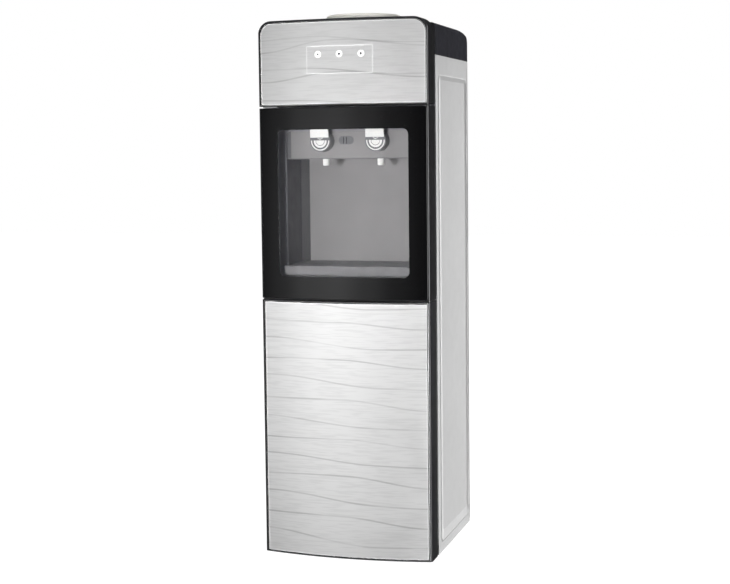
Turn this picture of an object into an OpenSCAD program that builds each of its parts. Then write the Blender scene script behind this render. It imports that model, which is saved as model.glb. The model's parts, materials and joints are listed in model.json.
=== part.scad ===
// Free-standing hot and cold water dispenser with two front doors and a top bottle seat.
// X runs to the viewer's right, Y to the back, Z up. The origin is on the floor, under the
// middle of the whole depth. Inside the modules Y = 0 is the plane of the front corners and
// Z = 0 the underside of the cabinet; set_down() moves both to the origin.

/* [Cabinet] */
// Width across the side panels
cab_w = 310; // [296:1:340]
// Depth of the side panels
side_d = 252.5; // [245:0.5:300]
// Height of the side panels
side_h = 886.5; // [870:0.5:915]
// Thickness of the sheet metal
steel_t = 0.8; // [0.6:0.1:1.5]
// Depth of the pressed field in the side panels
press_d = 2.5; // [1:0.5:5]
// Height of the feet
foot_h = 8; // [5:1:20]
// Radius of the feet
foot_r = 15; // [8:1:20]
// Distance of the feet from the front and back edges
foot_y = 26; // [18:1:60]
// Distance of the feet from the sides
foot_x = 30; // [18:1:60]
// Height of the base pan's rim
pan_h = 18; // [10:1:30]

/* [Front] */
// How far the front bows out at its middle
bow = 17; // [8:1:22]
// Depth of the doors and of the head at the front corners
door_d = 40; // [36:1:50]
// Gap between the doors and the cabinet, filled by the seals
seal_gap = 8.5; // [6:0.5:10]
// Height of the lower door
lower_door_h = 457.5; // [440:0.5:480]
// Height of the upper door
upper_door_h = 336.5; // [326:0.5:360]
// Height of the head
head_h = 149; // [140:0.5:170]
// Running gap above and below each door
door_gap = 0.5; // [0.3:0.1:1.5]
// Wall of the door and head frames
frame_t = 4; // [3:0.5:5]
// Thickness of the front panels
glass_t = 4; // [3:0.5:5]
// Backing skin behind the front panels
skin_t = 3; // [2:0.5:4]
// Width of the frame seen beside the front panels
border = 4; // [3:0.5:8]
// Radius of the head's upper corners
head_r = 25; // [10:1:40]
// Rounding of the frames' front edges
edge_r = 3.5; // [2:0.5:3.5]
// Width of the doors' return flange
flange_w = 14; // [13:1:18]
// Distance of the door seals from the doors' edges
gasket_in = 6; // [5:0.5:6.5]
// Width of the door seals
gasket_w = 7; // [4:0.5:7]
// Width of the door window
window_w = 239; // [200:1:244]
// Height of the door frame above the window
window_head = 38.5; // [36:0.5:60]
// Height of the door frame below the window
window_sill = 40; // [30:1:50]
// Corner radius of the window
window_r = 10; // [3:1:25]

/* [Hinges] */
// Distance of the hinge pins from the cabinet's left side
pin_side = 8; // [7:0.5:9]
// Distance of the hinge pins behind the front corners
pin_y = 30; // [28:0.5:31]
// Radius of the hinge pins
pin_r = 3; // [2:0.5:4]
// Thickness of the hinge plates and of the rail between the doors
hinge_t = 2; // [1.5:0.5:4]
// Length of the pins inside the doors
pin_l = 11; // [6:1:12]

/* [Head] */
// Half spacing of the outer indicator lenses
lens_dx = 39; // [25:1:50]
// Radius of the indicator lenses
lens_r = 6; // [3:0.5:8]
// Height of the lenses above the head's lower edge
lens_z = 88; // [60:1:110]

/* [Top] */
// Height of the top cover
cover_h = 56; // [45:0.5:60]
// Wall of the top cover
cover_t = 3; // [2:0.5:4]
// Outer radius of the bottle seat
seat_r = 68; // [60:1:80]
// Height of the bottle seat above the cover
seat_h = 22.5; // [12:0.5:40]
// Distance of the bottle seat behind the front corners
seat_y = 138; // [136:1:150]
// Inner radius of the bottle's neck guide
neck_r = 30; // [27:0.5:34]

/* [Dispensing bay] */
// Width of the bay
bay_w = 244; // [230:1:244]
// Height of the bay's floor above the upper door's lower edge
bay_sill = 23; // [18:1:26]
// Height from the top of the bay to the upper door's upper edge
bay_head = 40.5; // [38:0.5:50]
// Distance of the bay's back wall behind the front corners
bay_back = 153; // [140:1:156]
// Wall of the bay liner
liner_t = 2; // [1.5:0.5:3]
// Height of the tap hood
hood_h = 50; // [46:1:60]
// Height of the drip tray
tray_h = 30.5; // [20:0.5:34]
// How far the drip tray stands out of the cabinet front
tray_out = 20.5; // [10:0.5:22]
// Wall of the drip tray
tray_t = 2.5; // [2:0.5:4]
// Thickness of the drip grille
grille_t = 2.5; // [2:0.5:4]
// Width of the ledge that the grille lies on
ledge_w = 2; // [1.5:0.5:4]
// Width of a grille slot
slot_w = 4; // [2:0.5:6]
// Pitch of the grille slots
slot_pitch = 9; // [8:0.5:14]

/* [Taps] */
// Half spacing of the taps
tap_dx = 51; // [40:1:62]
// Radius of a tap's front drum
tap_r = 19; // [17:0.5:21]
// How far a tap stands out of the cabinet front
tap_out = 20.5; // [18:0.5:22]
// Width of a tap lever
lever_w = 34; // [28:1:38]
// Outer radius of a spout
spout_r = 6; // [5:0.5:8]
// Bore radius of a spout
spout_bore = 3.5; // [2:0.5:4]
// Length of a spout below the hood
spout_l = 12; // [6:1:40]

/* [Lower cabinet] */
// Height of the step over the compressor
step_h = 220; // [200:1:240]
// Distance of the step's face behind the front corners
step_y = 150; // [130:1:160]
// Distance of the storage room's walls from the cabinet's sides
store_gap = 17; // [14:1:30]
// Height of the shelf
shelf_z = 335; // [270:1:400]
// Thickness of the shelf
shelf_t = 3; // [2:0.5:5]

/* [Water tanks] */
// Radius of the cold tank
cold_r = 60; // [50:1:62]
// Height of the cold tank
cold_h = 118; // [90:1:120]
// Wall of the foam round the cold tank
foam_t = 14; // [8:1:16]
// Radius of the hot tank
hot_r = 42; // [30:1:45]
// Height of the hot tank
hot_h = 130; // [90:1:150]
// Radius of the water tubes
tube_r = 4; // [3:0.5:5]

/* [Cooling] */
// Radius of the compressor's shell
comp_r = 54; // [45:1:58]
// Height of the compressor's shell
comp_h = 140; // [100:1:150]
// Height of the compressor's rubber mounts
mount_h = 22; // [12:1:28]
// Depth of the condenser behind the rear panel
cond_d = 22; // [16:1:40]
// Width of the condenser
cond_w = 276; // [220:1:284]
// Number of the condenser's tube runs
cond_runs = 11; // [6:1:13]
// Pitch of the condenser's tube runs
cond_pitch = 40; // [36:1:42]
// Radius of the condenser's tube
cond_r = 2.5; // [2:0.25:3]

/* [Hidden] */
$fn = 64;
fit = 0.3;
running = 0.05;
half = cab_w / 2;
inner = half - steel_t;
front_y = door_d + seal_gap;
back_y = front_y + side_d;
hinge_x = -half + pin_side;
rail_gap = hinge_t + 2 * door_gap;
screw_end = 30;

// Levels of the front, from the cabinet's underside up
lower_z0 = door_gap;
lower_z1 = lower_z0 + lower_door_h;
upper_z0 = lower_z1 + rail_gap;
upper_z1 = upper_z0 + upper_door_h;
head_z0 = upper_z1 + rail_gap;
head_z1 = head_z0 + head_h;
cover_z1 = side_h + cover_h;
fascia_t = 3;
fascia_y1 = front_y + fascia_t;

// Bow of the front, a circle through both corners and the middle
bow_r = (half * half + bow * bow) / (2 * bow);
bow_c = bow_r - bow;

// Window and panels
window_z0 = upper_z0 + window_sill;
window_z1 = upper_z1 - window_head;
panel_half = half - border;
panel_top = 1.2;

// Head
head_panel_r = head_r - frame_t + 1;
groove = 2;
lens_level = head_z0 + lens_z;
board_y = 12;
board_t = 1.6;
board_half = lens_dx + 18;
board_rise = 17;
led_r = 2.5;

// Top cover
crown_r = 345;
crown_run = 90;
cover_edge_r = 7;
cover_back_r = 14;
cover_hole = seat_r - 10;
neck_t = 3;

// Cold tank hangs under the bottle seat
bay_z0 = upper_z0 + bay_sill;
bay_z1 = upper_z1 - bay_head;
bay_half = bay_w / 2;
cold_z0 = bay_z1 + liner_t + foam_t;
cold_z1 = cold_z0 + cold_h;
coil_r = 2.8;
coil_turns = 12;
coil_c = cold_r + fit + coil_r;
coil_z0 = cold_z0 + 12;
coil_pitch = 1.96 * coil_r;
port_r = 3;
port_z = cold_z0 + 5;
foam_in = cold_r + 2 * fit + 2 * coil_r;
foam_out = foam_in + foam_t;
neck_z0 = cold_z1 + 1;

// Bay, hood and tray
bay_chamfer = 8;
bay_chamfer_l = 28;
hood_z0 = bay_z1 - hood_h;
hood_y0 = fascia_y1;
hood_t = 2.5;
tray_z0 = bay_z0 + liner_t;
tray_z1 = tray_z0 + tray_h;
tray_y0 = front_y - tray_out;
tray_gap = 0.5;
slot_edge = 14.5;
slot_side = 14;
slot_rib = 5;

// Taps
tap_z = hood_z0 + 32;
tap_y0 = front_y - tap_out;
tap_top = tap_z + 13;
shank_z = tap_z - 4;
shank_r = 11;
socket_r = spout_r + 1;
spout_y = hood_y0 + hood_t + socket_r + fit;
socket_z = hood_z0 + 5;
barb_y = spout_y + 27;
pivot_y = front_y - 3.5;
pivot_z = tap_top + 4;
tap_pin_r = 1.5;
lug_half = 5;
lever_t = 3;
lever_y0 = tap_y0 - 6;
lever_z1 = pivot_z + 7.5;
lever_z0 = lever_z1 - 18.5;
stem_y = pivot_y - 10;
stem_r = 2;
stem_head_r = 4.2;
stem_head_t = 3;
stem_dome = 0.6;
stem_top_r = 1.5;
stem_z0 = tap_z - 9;
stem_z1 = lever_z1 - lever_t - fit;
chamber_r = 4.8;
chamber_z = tap_z - 1;
ring_t = 0.6;

// Lower cabinet
liner_z1 = lower_z1 + door_gap;
store_half = half - store_gap;
store_back = back_y - 16;
store_top = liner_z1 - 12;
shelf_lip = 4;

// Equipment behind the bay
deck_z = upper_z0 + 79;
deck_y0 = bay_back + liner_t + 1;
deck_y1 = back_y - 2 * steel_t;
hot_x = half - 95;
hot_y = (bay_back + liner_t + back_y) / 2;
hot_z0 = deck_z + steel_t + 8;
hot_z1 = hot_z0 + hot_h;
band_t = 4;
band_z0 = hot_z0 + 30;
band_z1 = band_z0 + 50;
disc_dx = 16;
disc_r = 8;
disc_h = 9;
box_gap = 14;
box_x0 = -inner + 40;
box_x1 = -20;
box_h = 42;
lid_h = 8;
lid_out = 2;
pipe_y = back_y - 8;
deck_half = half - press_d - steel_t - fit;
deck_lip = 15;
cool_r = 2.5;
drain_x = half - 51;
drain_z = step_h + 42;
gland_x = 45 - half;
riser_x = gland_x - 25;
press_r = 12;
gland_bore = 3.6;
gland_r = 8;
spigot_r = 7;
spigot_bore = 4;
spigot_l = 12;
pipe_gap = 4;
drop_x = drain_x - spigot_r - pipe_gap - cool_r;
cap_r = 11;

// Rear switches
switch_x = half - 70;
switch_z = bay_z1 + 27;
rocker_r = 9.5;
rocker_w = 18;
rocker_dx = 12;
rocker_y = back_y - 1;
rocker_tilt = 10;
vent_w = 50;
vent_h = 4;
vent_pitch = 9;
vent_rib = 15;
vent_x = 45 - half;
vent_z = switch_z - 30;
switch_depth = 13;

// Compressor
comp_x = -30;
comp_y = (step_y + back_y) / 2 + 2;
comp_z0 = steel_t + mount_h;
comp_foot = 3;
comp_dx = 62;
comp_dy = 42;

// Condenser
cond_y = back_y + cond_d - cond_r - 0.1 - 1.5;
wire_r = 0.75;
wire_pitch = 14;
cond_rise = 80;
cond_z0 = step_h + cond_rise;
bend_r = cond_pitch / 2;
run_half = cond_w / 2 - bend_r - cond_r;

// Points of an arc, without its first point when from = 1
function arc(c, r, a0, a1, n, from = 0) =
    [for (i = [from:n]) let (a = a0 + (a1 - a0) * i / n) c + r * [cos(a), sin(a)]];

// Front surface in plan, set back by inset
function bow_y(x, inset = 0) = bow_c - sqrt(pow(bow_r - inset, 2) - x * x);
function bow_line(x0, x1, inset, n = 30) =
    [for (i = [0:n]) let (x = x0 + (x1 - x0) * i / n) [x, bow_y(x, inset)]];

// Plan of a box with the bowed front, square corners
function bow_box(w, inset, back) =
    concat(bow_line(-w, w, inset), [[w, back], [-w, back]]);

// Plan of the same box with its two front corners rounded
function bow_round(w, r, back) =
    let (cx = w - r, cy = bow_c - sqrt(pow(bow_r - r, 2) - cx * cx))
    let (a = atan2(cy - bow_c, cx), xt = bow_r * cos(a))
    concat(bow_line(-xt, xt, 0), arc([cx, cy], r, a, 0, 6, 1), [[w, back], [-w, back]],
        [for (p = arc([cx, cy], r, 0, a, 6)) if (p[1] > bow_y(xt) + 0.001) [-p[0], p[1]]]);

// Plan of a curved sheet between two insets
function bow_sheet(w, i0, i1) = concat(bow_line(-w, w, i0), bow_line(w, -w, i1));

// Rounded rectangle with bottom radius rb and top radius rt
function slab(x0, z0, x1, z1, rb, rt, n = 8) = concat(
    rb > 0 ? arc([x1 - rb, z0 + rb], rb, -90, 0, n) : [[x1, z0]],
    rt > 0 ? arc([x1 - rt, z1 - rt], rt, 0, 90, n) : [[x1, z1]],
    rt > 0 ? arc([x0 + rt, z1 - rt], rt, 90, 180, n) : [[x0, z1]],
    rb > 0 ? arc([x0 + rb, z0 + rb], rb, 180, 270, n) : [[x0, z0]]);

// Moves a sub-part from the front corner plane to the origin under the whole depth
module set_down() translate([0, (bow - back_y - cond_d) / 2, foot_h]) children();

// Box between two corners
module block(a, b) translate(a) cube(b - a);

// Prism whose outline is drawn in X and Z
module elevation(points, y0, y1)
    translate([0, y1, 0]) rotate([90, 0, 0]) linear_extrude(y1 - y0) polygon(points);

// Prism whose outline is drawn in Y and Z
module profile(points, x0, x1)
    translate([x0, 0, 0]) rotate([90, 0, 90]) linear_extrude(x1 - x0) polygon(points);

// Prism whose outline is drawn in X and Y
module plan(points, z0, z1) translate([0, 0, z0]) linear_extrude(z1 - z0) polygon(points);

// Round bar from y0 to y1, from z0 to z1 and from x0 to x1
module bar_y(x, z, r, y0, y1) translate([x, y0, z]) rotate([-90, 0, 0]) cylinder(r = r, h = y1 - y0);
module bar_z(x, y, r, z0, z1) translate([x, y, z0]) cylinder(r = r, h = z1 - z0);
module bar_x(y, z, r, x0, x1) translate([x0, y, z]) rotate([0, 90, 0]) cylinder(r = r, h = x1 - x0);

// Unit vector, and a path whose inner corners are rounded in four steps by at most b
function unit(v) = v / norm(v);
function rounded_path(p, b) = concat([p[0]],
    [for (i = [1:len(p) - 2])
        let (r = min(b, 0.45 * norm(p[i] - p[i - 1]), 0.45 * norm(p[i + 1] - p[i])))
        let (a = p[i] + r * unit(p[i - 1] - p[i]), c = p[i] + r * unit(p[i + 1] - p[i]))
        for (t = [0:0.25:1]) (1 - t) * (1 - t) * a + 2 * t * (1 - t) * p[i] + t * t * c],
    [p[len(p) - 1]]);

// Rings of a tube: each ring is the one before, slid along its run to the next mitre plane
function tube_rings(p, ring, i = 1) = i == len(p) ? [ring] :
    let (d = unit(p[i] - p[i - 1]))
    let (m = i == len(p) - 1 ? d : unit(d + unit(p[i + 1] - p[i])))
    concat([ring], tube_rings(p, [for (q = ring) q + d * ((p[i] - q) * m) / (d * m)], i + 1));

// Pipe along a list of points, with bends of radius b and n sides
module pipe(points, r, b = 12, n = 10) {
    p = rounded_path(points, b);
    d = unit(p[1] - p[0]);
    u = unit(cross(d, abs(d[2]) > 0.9 ? [1, 0, 0] : [0, 0, 1]));
    v = cross(d, u);
    rings = tube_rings(p, [for (k = [0:n - 1]) p[0] + r * (cos(360 * k / n) * u + sin(360 * k / n) * v)]);
    last = len(rings) - 1;
    polyhedron([for (ring = rings, q = ring) q], concat(
        [[for (k = [0:n - 1]) k]],
        [for (i = [0:last - 1], k = [0:n - 1]) let (j = (k + 1) % n)
            each [[i * n + k, (i + 1) * n + j, i * n + j], [i * n + k, (i + 1) * n + k, (i + 1) * n + j]]],
        [[for (k = [n - 1:-1:0]) last * n + k]]), convexity = 6);
}

module at_taps() for (x = [-tap_dx, tap_dx]) translate([x, 0, 0]) children();

// Cabinet shell

module base_pan() set_down() color("dimgray") difference() {
    block([-inner, front_y, 0], [inner, back_y, pan_h]);
    block([-inner + steel_t, front_y + steel_t, steel_t],
        [inner - steel_t, back_y - steel_t, pan_h + 1]);
}

module feet() set_down() color("black") for (x = [-1, 1], y = [front_y + foot_y, back_y - foot_y])
    bar_z(x * (half - foot_x), y, foot_r, -foot_h, 0);

// Field of the pressing between its lip at the panel face and its floor, grown by g
module press_field(g, x0, x1) {
    lip = [front_y + 24, 18, back_y - 11, side_h - 35];
    floor_in = [14, 24, -24, -7];
    low = lip + floor_in;
    hull() {
        profile(slab(lip[0] - g, lip[1] - g, lip[2] + g, lip[3] + g, press_r + g, press_r + g, 4), x1 - 0.01, x1);
        profile(slab(low[0] - g, low[1] - g, low[2] + g, low[3] + g, press_r / 2 + g, press_r / 2 + g, 4),
            x0, x0 + 0.01);
    }
}

module side_panel() set_down() color("silver") difference() {
    union() {
        block([inner, front_y, 0], [half, back_y, side_h]);
        press_field(steel_t, half - press_d - steel_t, half - 0.01);
        block([inner - 12, back_y - 2 * steel_t, pan_h + 4], [inner, back_y - steel_t, side_h]);
    }
    press_field(0, half - press_d, half + 0.02);
    screw_places() bar_y(inner - 6, 0, 1.6, back_y - 4, back_y);
}

// Heights of the rear screws
module screw_places() for (k = [0:3])
    translate([0, 0, step_h + screw_end + k * (side_h - step_h - 2 * screw_end) / 3]) children();

module side_panel_right() side_panel();
module side_panel_left() mirror([1, 0, 0]) side_panel();

module rear_panel() set_down() color("gainsboro") difference() {
    block([-inner, back_y - steel_t, step_h + 4], [inner, back_y, side_h]);
    for (s = [-1, 1]) screw_places() bar_y(s * (inner - 6), 0, 1.6, back_y - 4, back_y + 1);
    for (k = [0:7], x = [vent_x, vent_x + vent_w + vent_rib])
        translate([x, 0, vent_z + vent_pitch * k])
            elevation(slab(0, 0, vent_w, vent_h, vent_h / 2, vent_h / 2, 4), back_y - 4, back_y + 1);
    block([switch_x - 2 * rocker_dx, back_y - 4, switch_z - rocker_r - 2],
        [switch_x + 2 * rocker_dx, back_y + 1, switch_z + rocker_r + 2]);
    bar_y(drain_x, drain_z, spigot_r + fit, back_y - 4, back_y + 1);
    bar_y(gland_x, drain_z, gland_r + fit, back_y - 4, back_y + 1);
    for (x = [-1, 1]) bar_y(x * (run_half - 25), cond_z0 - 12, 4, back_y - 4, back_y + 1);
}

module panel_screws() set_down() color("lightgray") for (s = [-1, 1]) screw_places() {
    bar_y(s * (inner - 6), 0, 1.5, back_y - 3, back_y + 0.01);
    bar_y(s * (inner - 6), 0, 3.5, back_y, back_y + 2.2);
}

// Outline of the top cover from the side: flat top, falling crown, rounded rear edge
function cover_side(i) =
    let (yc = back_y - crown_run, zc = cover_z1 - crown_r)
    let (yf = back_y - cover_back_r, zf = zc + sqrt(pow(crown_r - cover_back_r, 2) - pow(yf - yc, 2)))
    let (a = atan2(zf - zc, yf - yc), z0 = side_h - (i > 0 ? 1 : 0))
    concat([[front_y + i, z0], [back_y - i, z0]], arc([yf, zf], cover_back_r - i, 0, a, 8),
        arc([yc, zc], crown_r - i, a, 90, 10, 1), [[front_y + i, cover_z1 - i]]);

module cover_block(i) intersection() {
    profile(cover_side(i), -half + i, half - i);
    elevation(slab(-half + i, side_h - 2, half - i, cover_z1 - i, 0, cover_edge_r - i),
        front_y, back_y);
}

module top_cover() set_down() color("#202024") difference() {
    cover_block(0);
    cover_block(cover_t);
    bar_z(0, seat_y, cover_hole, cover_z1 - 10, cover_z1 + 1);
}

// Collar, funnel and neck guide as one moulding
module bottle_seat() set_down() color("ivory") translate([0, seat_y, 0]) rotate_extrude($fn = 96)
    polygon(concat(
        [[neck_r - 6, neck_z0], [neck_r + neck_t, neck_z0], [neck_r + neck_t, cover_z1 - 18],
            [cover_hole - 4, cover_z1 - 2], [cover_hole - 4, cover_z1], [seat_r + 2, cover_z1],
            [seat_r, cover_z1 + 5]],
        arc([seat_r - 3, cover_z1 + seat_h - 3], 3, 0, 90, 6),
        [[seat_r - 8, cover_z1 + seat_h - 2], [neck_r, cover_z1 - 16], [neck_r, neck_z0 + 3],
            [neck_r - 6, neck_z0 + 3]]));

// Spike that opens the bottle's cap
module water_guard() set_down() color("whitesmoke") difference() {
    translate([0, seat_y, 0]) rotate_extrude()
        polygon(concat([[5, neck_z0 + 3], [neck_r - fit, neck_z0 + 3], [neck_r - fit, neck_z0 + 6],
            [13, neck_z0 + 9], [12, cover_z1 + seat_h - 18]],
            arc([4, cover_z1 + seat_h - 18], 8, 0, 90, 8), [[0, cover_z1 + seat_h - 10],
            [0, cover_z1 + seat_h - 16], [5, cover_z1 + seat_h - 16]]));
    for (a = [0, 90]) translate([0, seat_y, cover_z1 + seat_h - 24]) rotate([90, 0, a])
        cylinder(r = 3, h = 60, center = true);
}

// Head

module head_frame() set_down() color("#1c1c1e") difference() {
    union() {
        difference() {
            intersection() {
                plan(bow_round(half, edge_r, front_y), head_z0, head_z1);
                elevation(slab(-half, head_z0, half, head_z1, 2, head_r), -bow - 1, front_y);
            }
            intersection() {
                plan(bow_box(half - frame_t - 0.5, glass_t + skin_t, front_y + 1), head_z0, head_z1);
                elevation(head_outline(frame_t + 0.5), -bow - 1, front_y + 1);
            }
            difference() {
                block([-half - 1, door_d, head_z0 - 1], [half + 1, front_y + 1, head_z1 + 1]);
                elevation(head_outline(groove), door_d - 1, front_y + 2);
            }
        }
        for (x = [-1, 1], z = [-12, 12])
            bar_y(x * (board_half - 5), lens_level + z, 3.5, bow_y(board_half) + glass_t + 1, board_y);
    }
    intersection() {
        plan(bow_sheet(panel_half + fit, -2, glass_t + running), head_z0, head_z1);
        elevation(head_face(fit), -bow - 2, 10);
    }
    for (x = [-lens_dx, 0, lens_dx]) bar_y(x, lens_level, lens_r + 0.5, -bow - 1, board_y);
}

function head_outline(i) = slab(-half + i, head_z0 + i, half - i, head_z1 - i, 1, head_r - i);

// Outline of the head panel, grown by g
function head_face(g) = slab(-panel_half - g, head_z0 + panel_top - g, panel_half + g,
    head_z1 - frame_t + 0.5 + g, 2, head_panel_r + g);

module head_panel() set_down() color("gainsboro") difference() {
    intersection() {
        plan(bow_sheet(panel_half, 0, glass_t), head_z0, head_z1);
        elevation(head_face(0), -bow - 1, 10);
    }
    for (x = [-lens_dx, 0, lens_dx]) bar_y(x, lens_level, lens_r + 0.1, -bow - 1, 10);
}

module indicator_lenses() set_down() color("white") for (x = [-lens_dx, 0, lens_dx])
    intersection() {
        bar_y(x, lens_level, lens_r, -bow - 1, board_y - 7 - fit);
        plan(bow_box(half - 5, 0, board_y), lens_level - board_rise, lens_level + board_rise);
    }

module led_board() set_down() color("seagreen") {
    block([-board_half, board_y, lens_level - board_rise],
        [board_half, board_y + board_t, lens_level + board_rise]);
    for (x = [-lens_dx, 0, lens_dx]) bar_y(x, lens_level, led_r, board_y - 7, board_y + 0.01);
}

// Dispensing bay

module fascia() set_down() color("#4a4a4e") difference() {
    block([-inner, front_y, upper_z0 - door_gap], [inner, fascia_y1, side_h]);
    elevation(slab(-bay_half, bay_z0, bay_half, bay_z1, 2, 8), front_y - 1, fascia_y1 + 1);
}

// Plan of the bay, grown by g, with bevelled rear corners
function bay_plan(g, y0, back = bay_back) = [[-bay_half - g, y0], [bay_half + g, y0],
    [bay_half + g, back - bay_chamfer_l], [bay_half - bay_chamfer + g, back + g],
    [-bay_half + bay_chamfer - g, back + g], [-bay_half - g, back - bay_chamfer_l]];

module bay_liner() set_down() color("#a4a4a6") difference() {
    plan(bay_plan(liner_t, fascia_y1), bay_z0, bay_z1 + liner_t);
    plan(bay_plan(0, fascia_y1 - 1), tray_z0, bay_z1);
    at_taps() bar_y(0, shank_z, tube_r + 1.5, bay_back - 1, bay_back + 5);
}

module tap_hood() set_down() color("#9a9a9c") difference() {
    plan(bay_plan(-fit, hood_y0), hood_z0, bay_z1 - fit);
    plan(bay_plan(-fit - hood_t, hood_y0 + hood_t), hood_z0 + hood_t, bay_z1);
    plan(bay_plan(1, bay_back - 12), hood_z0 + hood_t, bay_z1);
    at_taps() {
        bar_y(0, shank_z, shank_r + fit, hood_y0 - 1, hood_y0 + hood_t + 1);
        bar_z(0, spout_y, spout_r + 0.5, hood_z0 - 1, hood_z0 + hood_t + 1);
    }
}

// Blank oval plate between the taps, with two ribs
module hood_badge() set_down() color("#808084") {
    badge_z = tap_z + 1;
    elevation(slab(-24, badge_z - 7.5, 4, badge_z + 7.5, 7.4, 7.4), hood_y0 - 0.8, hood_y0);
    for (x = [-13, -8]) block([x, hood_y0 - 1.4, badge_z - 6], [x + 2, hood_y0 - 0.8, badge_z + 6]);
}

// Lower half of a round or ring shape on the tap's face
module half_ring(r1, r0) intersection() {
    difference() {
        bar_y(0, tap_z, r1, tap_y0 - ring_t, tap_y0);
        if (r0 > 0) bar_y(0, tap_z, r0, tap_y0 - ring_t - 1, tap_y0 + 1);
    }
    block([-tap_r, tap_y0 - 2, tap_z - tap_r], [tap_r, tap_y0 + 2, tap_z + 1]);
}

module tap_marks() set_down() color("white") at_taps() {
    half_ring(tap_r - 2, tap_r - 4);
    half_ring(tap_r - 8, 0);
}

module tap_body() difference() {
    union() {
        intersection() {
            bar_y(0, tap_z, tap_r, tap_y0, hood_y0);
            block([-tap_r - 1, tap_y0 - 1, tap_z - tap_r - 1], [tap_r + 1, hood_y0 + 1, tap_top]);
        }
        block([-lug_half, pivot_y - 3, tap_z], [lug_half, pivot_y + 3, pivot_z + 4]);
        bar_y(0, shank_z, shank_r, hood_y0 - 1, spout_y + 14);
        bar_z(0, spout_y, socket_r, socket_z, shank_z);
        bar_y(0, shank_z, tube_r, spout_y + 13, barb_y);
    }
    bar_z(0, stem_y, chamber_r, chamber_z, tap_top + 1);
    bar_z(0, stem_y, stem_r + running, stem_z0 - 5, chamber_z + 1);
    bar_x(pivot_y, pivot_z, tap_pin_r + running, -lug_half - 1, lug_half + 1);
    bar_z(0, spout_y, spout_bore, socket_z - 1, shank_z);
}

module tap_body_left() set_down() color("#77777b") translate([-tap_dx, 0, 0]) tap_body();
module tap_body_right() set_down() color("#77777b") translate([tap_dx, 0, 0]) tap_body();

module spouts() set_down() color("white") at_taps() difference() {
    bar_z(0, spout_y, spout_r, hood_z0 - spout_l, socket_z);
    bar_z(0, spout_y, spout_bore, hood_z0 - spout_l - 1, socket_z + 1);
}

// Return spring of a tap, as the sleeve that its coil fills
module tap_spring() difference() {
    bar_z(0, stem_y, chamber_r - fit, chamber_z, stem_z1 - stem_head_t);
    bar_z(0, stem_y, stem_r + fit, chamber_z - 1, stem_z1);
}

module spring_left() set_down() color("lightgray") translate([-tap_dx, 0, 0]) tap_spring();
module spring_right() set_down() color("lightgray") translate([tap_dx, 0, 0]) tap_spring();

// Valve stem with a domed head under the lever
module tap_stem() {
    bar_z(0, stem_y, stem_r, stem_z0, stem_z1 - stem_dome);
    bar_z(0, stem_y, stem_head_r, stem_z1 - stem_head_t, stem_z1 - stem_dome);
    translate([0, stem_y, stem_z1 - stem_dome]) cylinder(r1 = stem_head_r, r2 = stem_top_r, h = stem_dome);
}

module stem_left() set_down() color("white") translate([-tap_dx, 0, 0]) tap_stem();
module stem_right() set_down() color("white") translate([tap_dx, 0, 0]) tap_stem();

// Paddle with two ears on the pivot pin
module tap_lever() {
    w = lever_w / 2;
    block([-w, lever_y0, lever_z0], [w, lever_y0 + lever_t, lever_z1]);
    block([-w, lever_y0, lever_z1 - lever_t], [w, front_y - 0.5, lever_z1]);
    for (s = [0, 1]) mirror([s, 0, 0])
        block([lug_half + fit, pivot_y - 3, pivot_z - 2.8], [lug_half + 4, pivot_y + 3, lever_z1 - 1]);
    bar_x(pivot_y, pivot_z, tap_pin_r, -lug_half - 2, lug_half + 2);
}

module lever_left() set_down() color("white") translate([-tap_dx, 0, 0]) tap_lever();
module lever_right() set_down() color("white") translate([tap_dx, 0, 0]) tap_lever();

// Tray that drops into the bay's floor and stands out in front of the fascia, with a ledge inside
module drip_tray() set_down() color("#8e8e90") {
    wall = tray_gap + tray_t;
    difference() {
        plan(bay_plan(-tray_gap, tray_y0), tray_z0, tray_z1);
        plan(bay_plan(-wall, tray_y0 + tray_t), tray_z1 - grille_t, tray_z1 + 1);
        plan(bay_plan(-wall - ledge_w, tray_y0 + tray_t + ledge_w), tray_z0 + tray_t, tray_z1);
    }
}

// Slotted grille, three fields of slots across
module drip_grille() set_down() color("#909092") difference() {
    plan(bay_plan(-tray_gap - tray_t - fit, tray_y0 + tray_t + fit), tray_z1 - grille_t, tray_z1);
    field = (2 * bay_half - 2 * slot_side) / 3;
    rows = floor((bay_back - tray_y0 - 2 * slot_edge) / slot_pitch);
    for (k = [0:rows - 1], x = [-1, 0, 1])
        block([x * field - field / 2 + slot_rib, tray_y0 + slot_edge + k * slot_pitch, tray_z1 - grille_t - 1],
            [x * field + field / 2 - slot_rib, tray_y0 + slot_edge + k * slot_pitch + slot_w, tray_z1 + 1]);
}

// Hinges

module hinge_pin(z0, z1) bar_z(hinge_x, pin_y, pin_r, z0, z1);

module top_hinge() set_down() color("silver") {
    block([-half + 1, pin_y - 12, head_z0 - hinge_t], [-half + 30, front_y - 0.5, head_z0]);
    hinge_pin(upper_z1 - pin_l, head_z0 - 0.5);
}

module middle_rail() set_down() color("silver") {
    block([-half + 1.5, 3, lower_z1 + door_gap], [half - 1.5, front_y + 12, upper_z0 - door_gap]);
    hinge_pin(lower_z1 - pin_l, upper_z0 + pin_l);
}

module bottom_hinge() set_down() color("silver") {
    block([-half + 1, pin_y - 12, -hinge_t], [-half + 30, front_y + foot_y - foot_r - 1, 0]);
    hinge_pin(-0.5, lower_z0 + pin_l);
}

// Doors

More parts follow.
